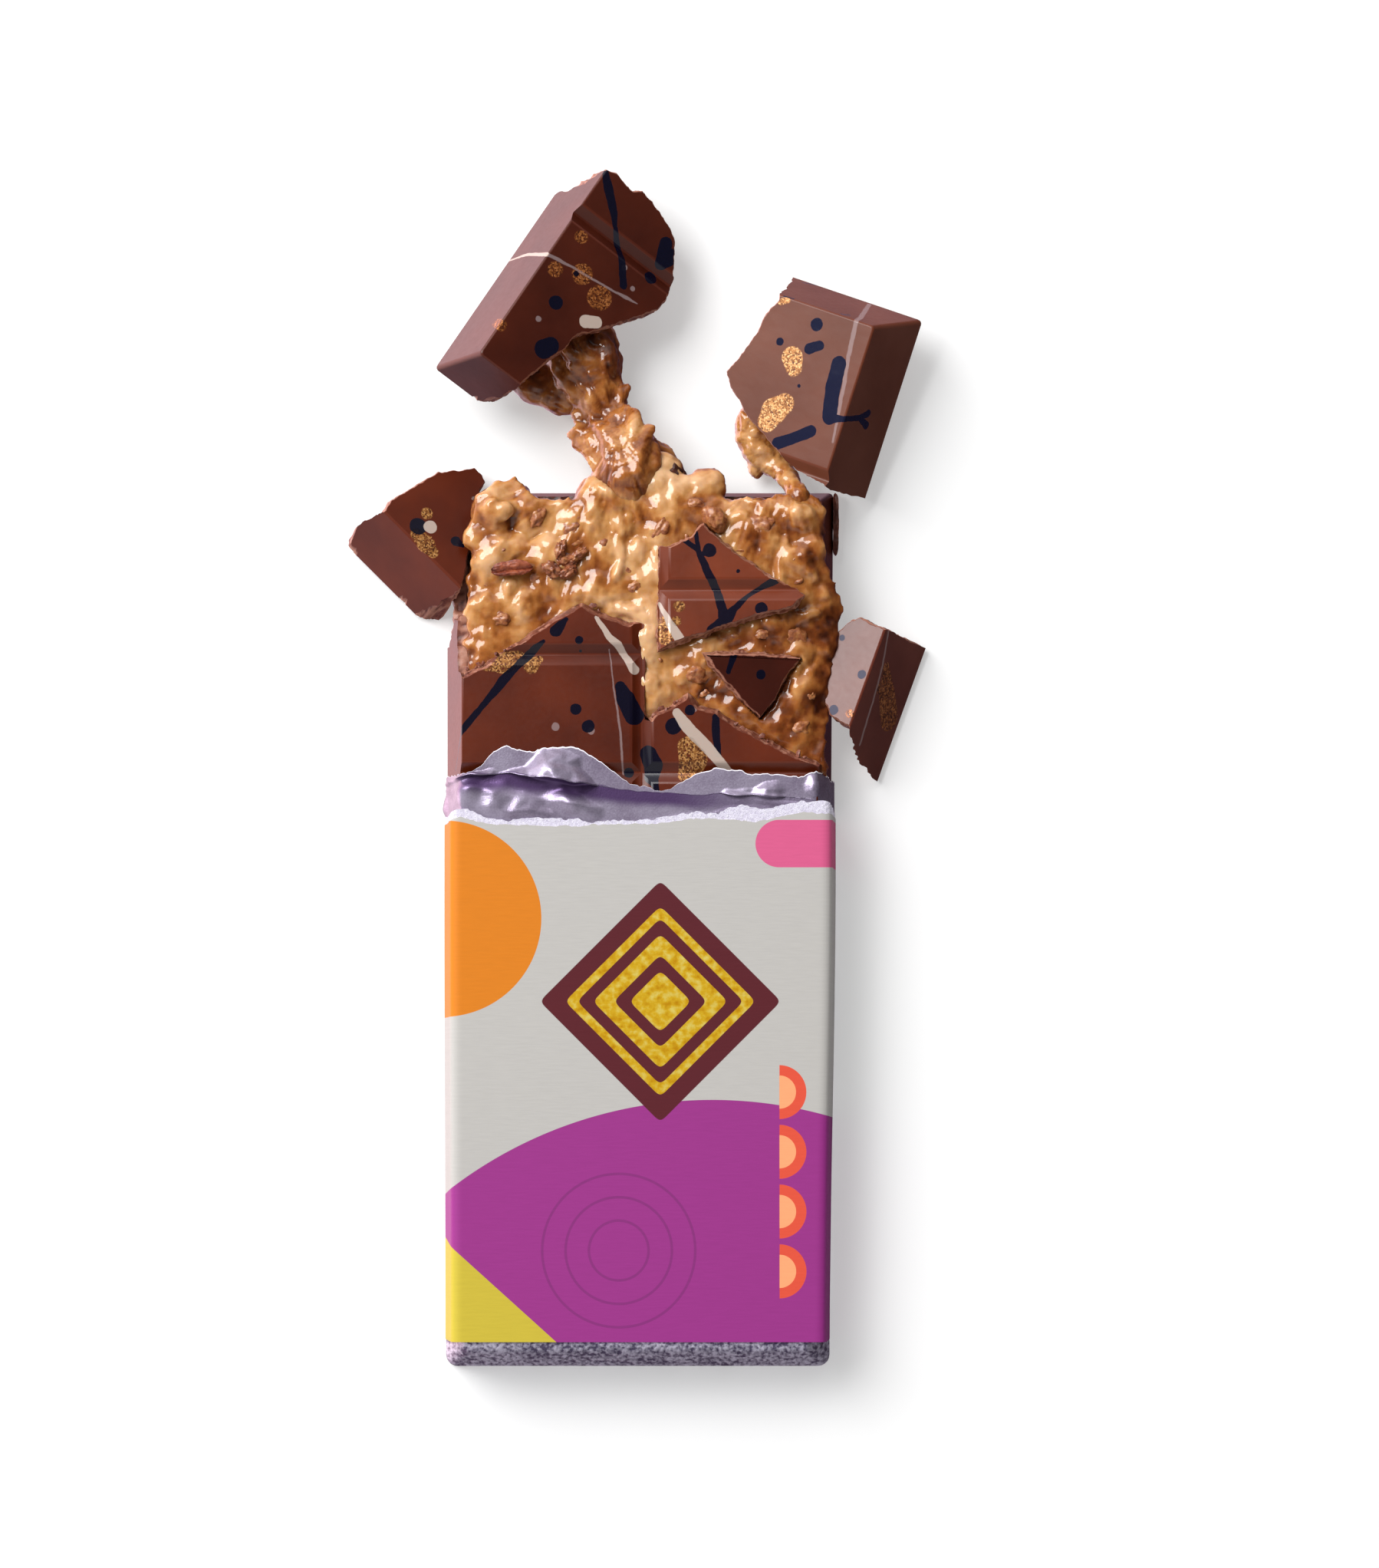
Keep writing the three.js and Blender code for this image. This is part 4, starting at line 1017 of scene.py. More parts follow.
def strand(bm, place, turn, length, radius, bend, rise=0.0, flat=0.85):
    """A soft rope of filling: a row of balls that swings to one side, thickest in its middle."""
    spot = Vector(place)
    steps = max(4, int(length / (radius * 0.7)))
    for i in range(steps):
        share = i / (steps - 1)
        r = radius * (0.7 + 0.3 * math.sin(math.pi * share))
        lump(bm, spot, (r * 1.25, r, r * flat), turn)
        turn += bend / steps
        spot = spot + Vector((math.cos(turn), math.sin(turn), rise)) * (length / steps)


def pull_share(x):
    """How much the filling at x follows the right pull rather than the left one."""
    return ease(x, *BETWEEN_PULLS)


def flow(x, y):
    """The way that the filling was drawn out: towards the two pulls at the far end."""
    left = math.atan2(LEFT_PULL_FOOT[1] - y, LEFT_PULL_FOOT[0] - x)
    right = math.atan2(RIGHT_PULL_FOOT[1] - y, RIGHT_PULL_FOOT[0] - x)
    share = pull_share(x)
    return left * (1 - share) + right * share + 0.5 * grain(x, y, 0, 20, 47)


def streaks(x, y, z, seed):
    """Fine ridges drawn out towards the pulls, whose crests run along the way the filling moved."""
    total = 0
    share = pull_share(x)
    for (px, py), weight in ((LEFT_PULL_FOOT, 1 - share), (RIGHT_PULL_FOOT, share)):
        away, turn = math.hypot(x - px, y - py), math.atan2(y - py, x - px)
        total += weight * (0.5 - abs(noise.noise(Vector((away / 5.5 + seed, turn * 18, z / 6)))) * 1.6)
    return total


def cream_tone(x, y, z, fold, opened):
    """How pale the cream is. Painted light and shade: palest on its crests and high places, darker in folds
    and hollows, towards its lower right and under the left corner piece. It is also darker over nuts, and
    palest in its middle.
    """
    if opened:
        stands = (z - mound_height(x, y)) * STANDING_TONE + HOLLOW_SHADE * min(0, swelling(x, y))
        stands = min(MOST_STANDING, stands) + PALE_MIDDLE * math.exp(-((x - PALE_MIDDLE_X) / PALE_MIDDLE_REACH) ** 2)
    else:
        stands = LEFT_PULL_TONE + (RIGHT_PULL_TONE - LEFT_PULL_TONE) * ease(x, 5, 20)
    nuts = sum(dark * math.exp(-((x - nx) ** 2 + (y - ny) ** 2) / long ** 2)
               for nx, ny, long, _, _, dark in COATED_NUTS)
    # painted shade towards the lower right and under the left corner piece
    painted_shade = LOWER_RIGHT_SHADE * ease(x + 0.5 * (70 - y), 12, 45) + UNDER_PIECE_SHADE * ease(y, 96, 108)
    return CREAM_TONE + stands + CREST_TONE * fold - NUT_TONE * nuts - painted_shade


def creamy(name, bm, material, seed, voxel=FILLING_GRAIN, opened=True):
    """Melts overlapping lumps into one soft surface with folds, fine streaks and a tone for each place, which
    holds painted light and shade.
    """
    obj = object_of(name, bm, material)
    melt = obj.modifiers.new("melt", "REMESH")
    melt.mode = "VOXEL"
    melt.voxel_size = voxel
    calm = obj.modifiers.new("calm", "SMOOTH")
    calm.factor = 0.5
    calm.iterations = 5
    settle(obj)
    with editing(obj) as bm:
        tone = bm.verts.layers.float.new("tone")
        moves = []
        for v in bm.verts:
            x, y, z = v.co
            fold = STREAK_HEIGHT * streaks(x, y, z, seed)
            fold += layered(x, y, z, FOLDS, seed)
            moves.append(v.co + v.normal * fold)
            v[tone] = cream_tone(x, y, z, fold, opened)
        for v, place in zip(bm.verts, moves):
            highest = ceiling(place.x, place.y) if opened else FAR
            place.z = max(min(place.z, highest), TABLE_GAP)
            v.co = place
    obj.data.materials.clear()
    obj.data.materials.append(material)
    obj.data.shade_smooth()
    return obj


def nut_cream():
    """Nut and pretzel cream: an oily paste with a wet gloss, painted pale on its crests and browner in its
    folds as light and shade, with chopped bits of about a millimetre just under the surface."""
    material, tree, surface = new_material("nut_and_pretzel_cream")
    place = add(tree, "TexCoord").outputs["Object"]
    tone = add(tree, "Attribute", attribute_name="tone").outputs["Fac"]
    broad = add(tree, "TexNoise", {"Vector": place, "Scale": 1 / (9 * MM), "Detail": 3.0, "Distortion": 0.5})
    fine = add(tree, "TexNoise", {"Vector": place, "Scale": 1 / (1.6 * MM), "Detail": 4.0})
    mixed = add(tree, "Math", {0: broad, 1: 0.5, 2: tone}, operation="MULTIPLY_ADD")
    mixed = add(tree, "Math", {0: fine, 1: 0.16, 2: mixed}, operation="MULTIPLY_ADD")
    level = add(tree, "Math", {0: mixed, 1: 0.33}, operation="SUBTRACT")
    colour = add(tree, "ValToRGB", {"Fac": level}, stops=[
        (0.24, "3E1606"), (0.36, "7A3E18"), (0.46, "A66630"), (0.56, "C38B52"), (0.72, "D8AA7C"),
    ])
    bits = add(tree, "TexVoronoi", {"Vector": place, "Scale": 1 / (2.6 * MM), "Randomness": 1.0})
    bit = add(tree, "MapRange",
              {"Value": bits, "From Min": 0.12, "From Max": 0.34, "To Min": 0.3, "To Max": 0.0})
    colour = add(tree, "Mix", {"Factor": bit, UNDER: colour, OVER: linear("8E5220")}, data_type="RGBA")
    chopped = add(tree, "TexVoronoi", {"Vector": place, "Scale": 1 / (1.2 * MM), "Randomness": 1.0},
                  feature="SMOOTH_F1")
    relief = add(tree, "Math", {0: chopped, 1: -0.8, 2: fine}, operation="MULTIPLY_ADD")
    bump = add(tree, "Bump", {"Height": relief, "Strength": 0.2, "Distance": 0.35 * MM})
    rough = add(tree, "MapRange", {"Value": broad, "To Min": 0.24, "To Max": 0.4})
    connect(tree, surface, {
        "Base Color": colour, "Roughness": rough, "IOR": 1.47, "Normal": bump, "Specular IOR Level": 0.15,
        "Subsurface Weight": 0.4, "Subsurface Radius": (0.0026, 0.0014, 0.0005), "Subsurface Scale": 1.0,
        "Coat Weight": 1.0, "Coat Roughness": 0.05,
    })
    return material


CREAM = nut_cream()


def opened_filling():
    """The filling that stands bare: its mass, then lumps, broad ones first, then ropes along its flow."""
    chance = random.Random(7)
    width, start, end, columns, rows = 84, 27, 93, 60, 48
    body = slab(width, start, end, columns, rows, lambda x, y: SPILL_FLOOR, mound_height)
    mass = object_of("mass", body, CREAM)
    cut(mass, rough_prism(FILLING_OUTLINE, FILLING_SIDES, 21, CREAM, wander=0.7, step=0.9), "INTERSECT")
    bm = bmesh.new()
    bm.from_mesh(mass.data)
    bpy.data.objects.remove(mass)
    for count, low, high, sink in LUMP_SIZES:
        for _ in range(count):
            x, y = (chance.uniform(*span) for span in LUMP_FIELD)
            if lies_bare(x, y, 1.04, 0, high * 0.9):
                r = chance.uniform(low, high)
                turn = flow(x, y) + chance.gauss(0, 0.5)
                top = min(mound_height(x, y), ceiling(x, y))
                sizes = (r * chance.uniform(1, 1.7), r, r * 0.75)
                lump(bm, (x, y, top - r * sink), sizes, turn, chance.gauss(0, 0.25))
    for _ in range(ROPES):
        x, y = (chance.uniform(*span) for span in ROPE_FIELD)
        if lies_bare(x, y, 1.08, 1, 2.5):
            r, turn = chance.uniform(*ROPE_RADIUS), flow(x, y) + chance.gauss(0, 0.5)
            length = chance.uniform(*ROPE_LENGTH)
            end_x, end_y = x + math.cos(turn) * length, y + math.sin(turn) * length
            if inside(FILLING_OUTLINE, end_x, end_y + 0.5):
                top = min(mound_height(x, y), ceiling(x, y))
                strand(bm, (x, y, top - r * 0.1), turn, length, r, chance.gauss(0, 0.7), rise=-0.04, flat=0.8)
    return finish_piece(creamy("filling", bm, CREAM, 51), "opened_filling", "filling")


def packed_filling():
    """The filling that the unbroken part of the bar still holds, just clear of the shell."""
    bm = bmesh.new()
    bmesh.ops.create_cube(bm, size=1)
    low, high = -TOP_HALF_LENGTH + 2 + PACKED_END_GAP, 30
    gap = 0.1
    for v in bm.verts:
        v.co.z = CAVITY_TOP - gap if v.co.z > 0 else CAVITY_FLOOR + gap
        v.co.x *= 2 * (BAR_WIDTH / 2 - SHELL - LEAN * (v.co.z - BAR_FLOOR) - gap)
        v.co.y = high if v.co.y > 0 else low
    round_edges(bm, [e for e in bm.edges if e.calc_length() > BAR_HEIGHT], 1.4, 3)
    body = object_of("packed_filling", bm, CREAM)
    return finish_piece(smooth(squeeze_end(body)), "packed_filling", "filling")


def curve_point(points, share):
    """A point on a smooth curve through a row of points."""
    place = share * (len(points) - 1)
    i = min(int(place), len(points) - 2)
    t = place - i
    before, a, b, after = (Vector(points[min(max(i + k, 0), len(points) - 1)]) for k in (-1, 0, 1, 2))
    return 0.5 * (2 * a + (b - before) * t + (2 * before - 5 * a + 4 * b - after) * t ** 2
                  + (3 * a - before - 3 * b + after) * t ** 3)


PULL_BALLS = 26
PULL_UNEVEN = 0.06
# How far round the pull its ropes lie, how thick they are and how long, as shares of its radius
ROPE_SIDES = 0.85
ROPE_THICK = (0.16, 0.34)
ROPE_SPAN = (0.6, 1.3)


def filling_pull(name, points, radii, extras, seed, ropes):
    """Filling drawn out between the bar and a fragment: a necked body with ropes running along it."""
    chance = random.Random(seed)
    bm = bmesh.new()
    rows = [(i / (len(radii) - 1), radius) for i, radius in enumerate(radii)]
    for i in range(PULL_BALLS):
        share = i / (PULL_BALLS - 1)
        spot = curve_point(points, share)
        r = along_line(rows, share) * 0.9
        long, wide = (r * (1 + chance.gauss(0, PULL_UNEVEN)) for _ in range(2))
        lump(bm, spot, (long, wide, min(r, spot.z)), share * 5)
    for place, sizes, turn in extras:
        lump(bm, place, sizes, turn)
    for _ in range(ropes):
        share = chance.uniform(0.0, 1.0)
        spot, ahead = curve_point(points, share), curve_point(points, min(share + 0.1, 1))
        r = along_line(rows, share)
        turn = math.atan2(ahead.y - spot.y, ahead.x - spot.x)
        side = chance.uniform(-ROPE_SIDES, ROPE_SIDES)
        across = Vector((-math.sin(turn), math.cos(turn), 0)) * side * r
        height = min(r, spot.z) * math.sqrt(1 - side * side)
        size = chance.uniform(*ROPE_THICK) * r
        fall = (ahead - spot).z / max((ahead - spot).xy.length, 0.1)
        strand(bm, spot + across + Vector((0, 0, height - size * 0.6)), turn + chance.gauss(0, 0.2),
               chance.uniform(*ROPE_SPAN) * r, size, chance.gauss(0, 0.5), fall)
    pull = creamy(name, bm, CREAM, seed, voxel=PULL_GRAIN, opened=False)
    return finish_piece(pull, "drawn_" + name, name)


# Filling drawn out to each corner piece: the points it runs through, its radius at equal steps along them,
# and lumps (place, sizes, turn) that hang on it
LEFT_PULL = (
    [
        (-2.6, 88.5, 9), (-2.6, 92.5, 7.6), (-4.4, 95.5, 6.4), (-6.8, 99.2, 5.4), (-8.6, 104.5, 5.4),
        (-10.2, 110.5, 6),
    ],
    [8, 7.4, 6, 5.2, 6.2, 7.6],
    [
        ((-18.6, 107.3, 3.6), (7.4, 4.6, 3.6), -0.1), ((-11.5, 114.5, 6), (7.4, 8, 6), 0.4),
        ((3.2, 92.2, 4.6), (5, 3.6, 4.6), -0.7), ((-14.6, 105.4, 4.2), (5.6, 4.4, 4.2), 0.3),
        ((-9.4, 108.6, 10.4), (2.4, 1.6, 1.6), 0.5), ((-6.4, 111.6, 10.6), (2, 1.6, 1.5), 1.2),
        ((-13.6, 106.6, 8.2), (2.6, 1.6, 1.5), 0.1), ((-8.2, 104.6, 9.4), (2.6, 1.5, 1.5), -0.5),
        ((-12.4, 110.4, 10.6), (1.8, 1.5, 1.4), 0),
    ],
)
RIGHT_PULL = (
    [
        (30.8, 84.4, 11), (28.3, 89.2, 6.6), (25.8, 91.8, 4.8), (22.8, 95, 4.4), (22.6, 99.5, 4.4),
        (29, 101.5, 4),
    ],
    [2.6, 2.3, 3, 3.7, 4.4, 4.8], [((22.6, 91.2, 3.6), (1.4, 2.6, 1.6), 0.2)],
)


# Bits that are set in the filling

def roasted_crumb(name, colours, bump_size):
    """Roasted nut or baked dough: dry, matt and craggy, darkest on the crust."""
    material, tree, surface = new_material(name)
    place = add(tree, "TexCoord").outputs["Object"]
    craggy = add(tree, "TexNoise",
                 {"Vector": place, "Scale": 1 / (bump_size * MM), "Detail": 5.0, "Roughness": 0.6})
    colour = add(tree, "ValToRGB", {"Fac": craggy}, stops=zip((0.32, 0.5, 0.68), colours))
    bump = add(tree, "Bump", {"Height": craggy, "Strength": 0.45, "Distance": 0.4 * MM})
    connect(tree, surface, {"Base Color": colour, "Roughness": 0.5, "IOR": 1.5, "Normal": bump,
                            "Coat Weight": 0.5, "Coat Roughness": 0.2})
    return material


def craggy_bit(name, place, lobes, seed, material, rough=0.22, size=0.5, node=None):
    """A craggy lump of lobes. Each lobe is (place, sizes, turn), its place about the lump's own."""
    bm = bmesh.new()
    for number, (spot, sizes, turn) in enumerate(lobes):
        lobe = bmesh.new()
        bmesh.ops.create_icosphere(lobe, subdivisions=4, radius=1)
        for v in lobe.verts:
            x, y, z = v.co
            cells = noise.voronoi(Vector((x / size + seed + number, y / size, z / size)))[0]
            v.co *= 1 + rough * (grain(x, y, z, 0.9, seed + number) + 0.9 * (cells[1] - cells[0]) - 0.4)
        bmesh.ops.scale(lobe, vec=sizes, verts=lobe.verts)
        bmesh.ops.rotate(lobe, cent=(0, 0, 0), matrix=Matrix.Rotation(turn, 3, "Z"), verts=lobe.verts)
        bmesh.ops.translate(lobe, vec=Vector(place) + Vector(spot), verts=lobe.verts)
        merge(bm, lobe)
    return finish_piece(smooth(object_of(name, bm, material), 50), name, node)


LIPS = ((0.3, 0.62, 1.0), (-0.68, 0.3, 0.8))  # a folded flake's lips: middle and half width across it, height


def shaving(name, node, place, sizes, turn, bow, curl, seed, material=BROKEN, fold=0.0, blunt=3):
    """A curled strip of broken chocolate: bowed along its length, rolled up at its sides and split in fibres.
    With a fold it has two lips, one along each side, and a slit between them."""
    length, width, thick = sizes
    bm = bmesh.new()
    bmesh.ops.create_cube(bm, size=1)
    bmesh.ops.scale(bm, vec=(length, width, thick), verts=bm.verts)
    bmesh.ops.subdivide_edges(bm, edges=edges_along(bm, 0, length / 2), cuts=36, use_grid_fill=True)
    bmesh.ops.subdivide_edges(bm, edges=edges_along(bm, 1, width / 2), cuts=14, use_grid_fill=True)
    for v in bm.verts:
        x, y, z = v.co
        along, side = 2 * x / length, 2 * y / width
        taper = math.sqrt(max(0.04, 1 - abs(along) ** blunt)) * (1 + 0.14 * grain(x, 0, side, 2, seed))
        fibre = 0.14 * grain(x / 3, y, 0, 0.5, seed + 1)
        lips = sum(high * max(0, 1 - ((side - middle) / half) ** 2) for middle, half, high in LIPS)
        above = fibre + fold * lips * taper if z > 0 else 0
        v.co = (x + 0.3 * grain(0, y, 0, 0.8, seed + 2), y * taper + bow * (1 - along ** 2),
                z * (0.5 + 0.5 * taper) + curl * side ** 2 + above)
    bmesh.ops.rotate(bm, cent=(0, 0, 0), matrix=Matrix.Rotation(turn, 3, "Z"), verts=bm.verts)
    bmesh.ops.translate(bm, vec=place, verts=bm.verts)
    strip = smooth(object_of(name, bm, material), 50, weighted=False)
    return finish_piece(strip, name, node)


def scattered(name, material, spots, faceted=1):
    """Many small crumbs in one mesh. Each spot is (x, y, z, size)."""
    chance = random.Random(len(name))
    bm = bmesh.new()
    for x, y, z, size in spots:
        crumb = bmesh.new()
        bmesh.ops.create_icosphere(crumb, subdivisions=faceted, radius=size)
        stretch = Vector((chance.uniform(0.8, 1.5), chance.uniform(0.6, 1.0), chance.uniform(0.5, 0.9)))
        around, over = chance.uniform(0, math.tau), chance.gauss(0, 0.4)
        spin = Matrix.Rotation(around, 4, "Z") @ Matrix.Rotation(over, 4, "X")
        for v in crumb.verts:
            v.co *= chance.uniform(0.75, 1.2)
            v.co = spin @ (v.co * stretch) + Vector((x, y, z))
        merge(bm, crumb)
    return finish_piece(smooth(object_of(name, bm, material), 40, weighted=False), name)


def crumb_spots(count, seed, sizes, depth):
    """Places on the opened filling, each a share of the crumb's size deep."""
    chance = random.Random(seed)
    spots = []
    while len(spots) < count:
        x, y = (chance.uniform(*span) for span in BIT_FIELD)
        size = chance.uniform(*sizes)
        if ceiling(x, y) == FAR and lies_bare(x, y, 1.06, 1, 2):
            spots.append((x, y, mound_height(x, y) - size * depth, size))
    return spots


def edge_spots(line, stretches, seed, count, sizes):
    """Places along some stretches of a plate's broken edge, given by their numbers, within the side walls."""
    chance = random.Random(seed)
    spots = []
    for _ in range(count):
        i = chance.choice(stretches)
        (ax, ay), (bx, by) = line[i], line[i + 1]
        t, size = chance.random(), chance.uniform(*sizes)
        x, y = ax + (bx - ax) * t + chance.gauss(0, 0.3), ay + (by - ay) * t + 0.7 + chance.gauss(0, 0.5)
        if abs(x) < TOP_HALF_WIDTH - 1:
            spots.append((x, y, BAR_TOP - 0.9 + chance.uniform(-0.6, 0.3), size))
    return spots


NUT_LOBES = (
    ((-2.5, -1.4, -0.2), (2.3, 1.5, 1.5), -0.5), ((-0.9, 2.3, 0.0), (2.1, 1.2, 1.4), 1.3),
    ((2.5, 1.2, 0.0), (2.0, 1.0, 1.3), 0.7), ((0.6, -2.0, 0.0), (2.1, 1.2, 1.4), 0.5),
    ((0, 0, -0.9), (2.6, 1.8, 1.4), 0.0),
)


def set_bits():
    """The nuts, crumbs, flakes and lumps that sit in and on the filling."""
    nut = roasted_crumb("roasted_nut", ("562410", "8A4826", "B47848"), 1.4)
    coated = roasted_crumb("cream_coated_nut", ("74381A", "9A582C", "B67A46"), 0.9)
    craggy_bit("roasted_nuts", (-14.6, 71.4, 14.2), NUT_LOBES, 71, nut, rough=0.34, size=0.45,
               node="nut_cluster")
    craggy_bit("roasted_crumb", (14.5, 79.8, 14.6), [((0, 0, 0), (3, 2.2, 2), -0.9)], 72, coated,
               rough=0.2, node="pretzel_crumb")
    shaving("curled_flake", "chocolate_flake", (-24.9, 69.9, 14.4), (8, 3.0, 0.7), turn=0.1, bow=0.3,
            curl=0.3, seed=73, material=SHAVED, fold=0.6)
    craggy_bit("broken_lump", (6.4, 88.4, 9.9), [((0, 0, 0), (2.7, 3.3, 2.8), 0.3)], 74, DARK_BROKEN,
               rough=0.3, node="dark_lump")
    shaving("thin_splinter", "wall_splinter", (38.3, 79.9, 1.9), (12.2, 1.1, 3.0), turn=math.pi / 2, bow=-0.1,
            curl=0.0, seed=75, blunt=9)
    lobes = [((x, y, mound_height(x, y) - 0.45 * short), (long, short, 0.8 * short), turn)
             for x, y, long, short, turn, _ in COATED_NUTS]
    craggy_bit("coated_nuts", (0, 0, 0), lobes, 79, coated, rough=0.26, size=0.8)
    scattered("nut_bits", coated, crumb_spots(26, 76, (0.5, 1.3), 0.3), faceted=2)
    left = edge_spots(LEFT_PLATE_BREAK, (1, 2, 3, 9, 10, 11, 11), 77, 16, (0.25, 0.6))
    right = edge_spots(RIGHT_PLATE_BREAK, (1, 2, 3, 4, 7, 8, 9, 10), 78, 22, (0.25, 0.7))
    scattered("chocolate_crumbs", BROKEN, left + right)


# The foil

FOIL_TEAR = [
    (-45, 28.6), (-38.2, 30), (-33.8, 30), (-30.2, 32.1), (-28, 34.5), (-25.6, 35.4), (-22.1, 34.4),
    (-18.4, 35.1), (-13.1, 35.4), (-11, 34.8), (-8.9, 33.2), (-4.1, 29.7), (-0.4, 27.9), (3.3, 26.8), (6, 27),
    (7.3, 28.1), (10.2, 29.7), (14.5, 31.2), (18.2, 30.7), (22.9, 30.1), (29.8, 29.7), (35.7, 30.4),
    (38.2, 29.2), (45, 28.6),
]
# The fold where the torn end was bent back on itself, and how high its crest stands
FOIL_FOLD = [
    (-45, 27), (-36, 29.2), (-32.7, 29.8), (-24.8, 29.8), (-11, 28.2), (-7.8, 27.4), (-0.4, 26.6), (7, 26.2),
    (15.5, 26), (25.6, 25.6), (32.5, 25.3), (37.3, 24.8), (45, 24.6),
]
FOIL_CREST = [
    (-45, 0.3), (-36, 0.5), (-31, 2.2), (-20, 2.6), (-10, 2.3), (0, 1.2), (6, 1.0), (14, 1.8), (28, 1.6),
    (36, 0.7), (45, 0.3),
]
CARD_TEAR = [
    (-45, 21.6), (-37, 20.6), (-33.2, 21.7), (-28.6, 20.4), (-17, 19.8), (-4.8, 20.3), (3, 20.3),
    (12.4, 21.5), (21.8, 20.7), (29.9, 22.6), (37.8, 21.9), (45, 21.9),
]
# How far the card's white core shows past the print where it tore
CARD_CORE = [
    (-45, 1.2), (-36, 1.5), (-32, 1.7), (-25, 0.7), (-22, 1.3), (-16, 1.8), (-9, 0.5), (-0.4, 0.5), (3, 1),
    (10, 1.4), (15, 0.8), (17, 2.4), (20, 3.1), (23, 2.4), (29, 2.1), (33.5, 2.6), (36, 1.4), (45, 1),
]
WALL_LENGTH = BAR_HEIGHT * math.hypot(1, LEAN)
SKIN_HALF = TOP_HALF_WIDTH + WALL_LENGTH
EDGE_BLEND = 1.2  # how far from the bar's long edges a wrapping bends
EDGE_CUT = 0.25  # and how much it cuts the edge


def on_skin(s, out):
    """A point of the bar's section, s millimetres round from the middle of the top and this far off it."""
    down = max(0, abs(s) - TOP_HALF_WIDTH)
    wall = Vector((1, LEAN)).normalized()
    foot = Vector((TOP_HALF_WIDTH, BAR_TOP)) + Vector((LEAN, -1)).normalized() * down
    blend = ease(abs(s), TOP_HALF_WIDTH - EDGE_BLEND, TOP_HALF_WIDTH + EDGE_BLEND)
    normal = (Vector((0, 1)) * (1 - blend) + wall * blend).normalized()
    base = foot if down else Vector((abs(s), BAR_TOP))
    place = base + normal * (out - EDGE_CUT * (1 - abs(2 * blend - 1)))
    return math.copysign(place.x, s), place.y


def lacquered_foil(name, dark, light, shine, sparkle, satin, speckle=0.6, reach=(0.55, 1.0), grit=0.35):
    """Thin laminated foil, lilac lacquer over aluminium: satin and metallic, creased, with white paper fibres
    where it tore. Its grit is drawn wider than the real one, grit millimetres, and as strong as speckle."""
    material, tree, surface = new_material(name)
    place = add(tree, "TexCoord").outputs["Object"]
    # its grain runs down the walls, where the foil was pleated
    place = add(tree, "Mapping", {"Vector": place, "Scale": (1, 1, 0.25)})
    grainy = add(tree, "TexNoise", {"Vector": place, "Scale": 1 / (grit * MM), "Detail": 3.0})
    cloud = add(tree, "TexNoise", {"Vector": place, "Scale": 1 / (7 * MM), "Detail": 4.0})
    mixed = add(tree, "Math", {0: grainy, 1: speckle, 2: cloud}, operation="MULTIPLY_ADD")
    level = add(tree, "MapRange", {"Value": mixed, "From Min": reach[0], "From Max": reach[1]})
    colour = add(tree, "ValToRGB", {"Fac": level}, stops=[(0.0, dark), (1.0, light)])
    # the slot behind the fold: painted shade, with the purple of the lacquered side that shows there
    shade = add(tree, "Attribute", attribute_name="slot").outputs["Fac"]
    colour = add(tree, "Mix", {"Factor": shade, UNDER: colour, OVER: linear("5A426E")}, data_type="RGBA")
    torn = add(tree, "Attribute", attribute_name="torn").outputs["Fac"]
    white = add(tree, "MapRange", {"Value": torn, "From Min": 0.3, "From Max": 0.7})
    colour = add(tree, "Mix", {"Factor": white, UNDER: colour, OVER: linear("F1EDF6")}, data_type="RGBA")
    lustre = add(tree, "MapRange", {"Value": white, "To Min": shine, "To Max": 0.0})
    bump = add(tree, "Bump", {"Height": mixed, "Strength": sparkle, "Distance": 0.25 * MM})
    connect(tree, surface, {"Base Color": colour, "Metallic": lustre, "Roughness": satin, "Normal": bump})
    return material


# Broad facets of the bent back end, as heights along x: those that rise to the right face the lamp
FOIL_RIDGES = [
    (-45, 0), (-33, 0.6), (-27.3, -0.4), (-12.1, 2.2), (0.8, 0), (7.5, 0.9), (11.1, -0.5), (24.1, 2.4),
    (29, 1.2), (34, 1.5), (40, 0.6),
]
# Crumples of the foil: how wide their facets are, how far they stand out, and which way they lie
CRUMPLES = ((12, 1.6, 0.5), (6.5, 1.1, -0.4), (3.2, 0.4, 1.1))


def crumple(s, y, size, turn):
    """The height of crumpled sheet, -1 to 1: flat three-cornered facets that meet in straight creases."""
    u = (s * math.cos(turn) + y * math.sin(turn)) / size
    v = (y * math.cos(turn) - s * math.sin(turn)) / size * 1.3
    i, j = math.floor(u), math.floor(v)
    across, up = u - i, v - j
    corners = ((0, 1), (1, 0), (0, 0), (1, 1))
    left, right, low, high = (noise.cell(Vector((i + a, j + b, size))) for a, b in corners)
    if across + up < 1:
        height = low * (1 - across - up) + right * across + left * up
    else:
        height = high * (across + up - 1) + right * (1 - up) + left * (1 - across)
    return 2 * height - 1


# The torn end's rows run from the tear to the fold, over the fold, and in under the card: the shares where
# they change
BENT_ROWS = 0.4
FOLDED_ROWS = 0.55
FOIL_DIP = 0.9  # how far behind the fold the foil turns down
FOIL_GAP = 0.14  # how close it comes to the chocolate
FOIL_REACH = 15  # where it ends under the card
TEAR_NOISE = ((3, 81, 0.5), (0.9, 82, 0.25))  # size, seed and height


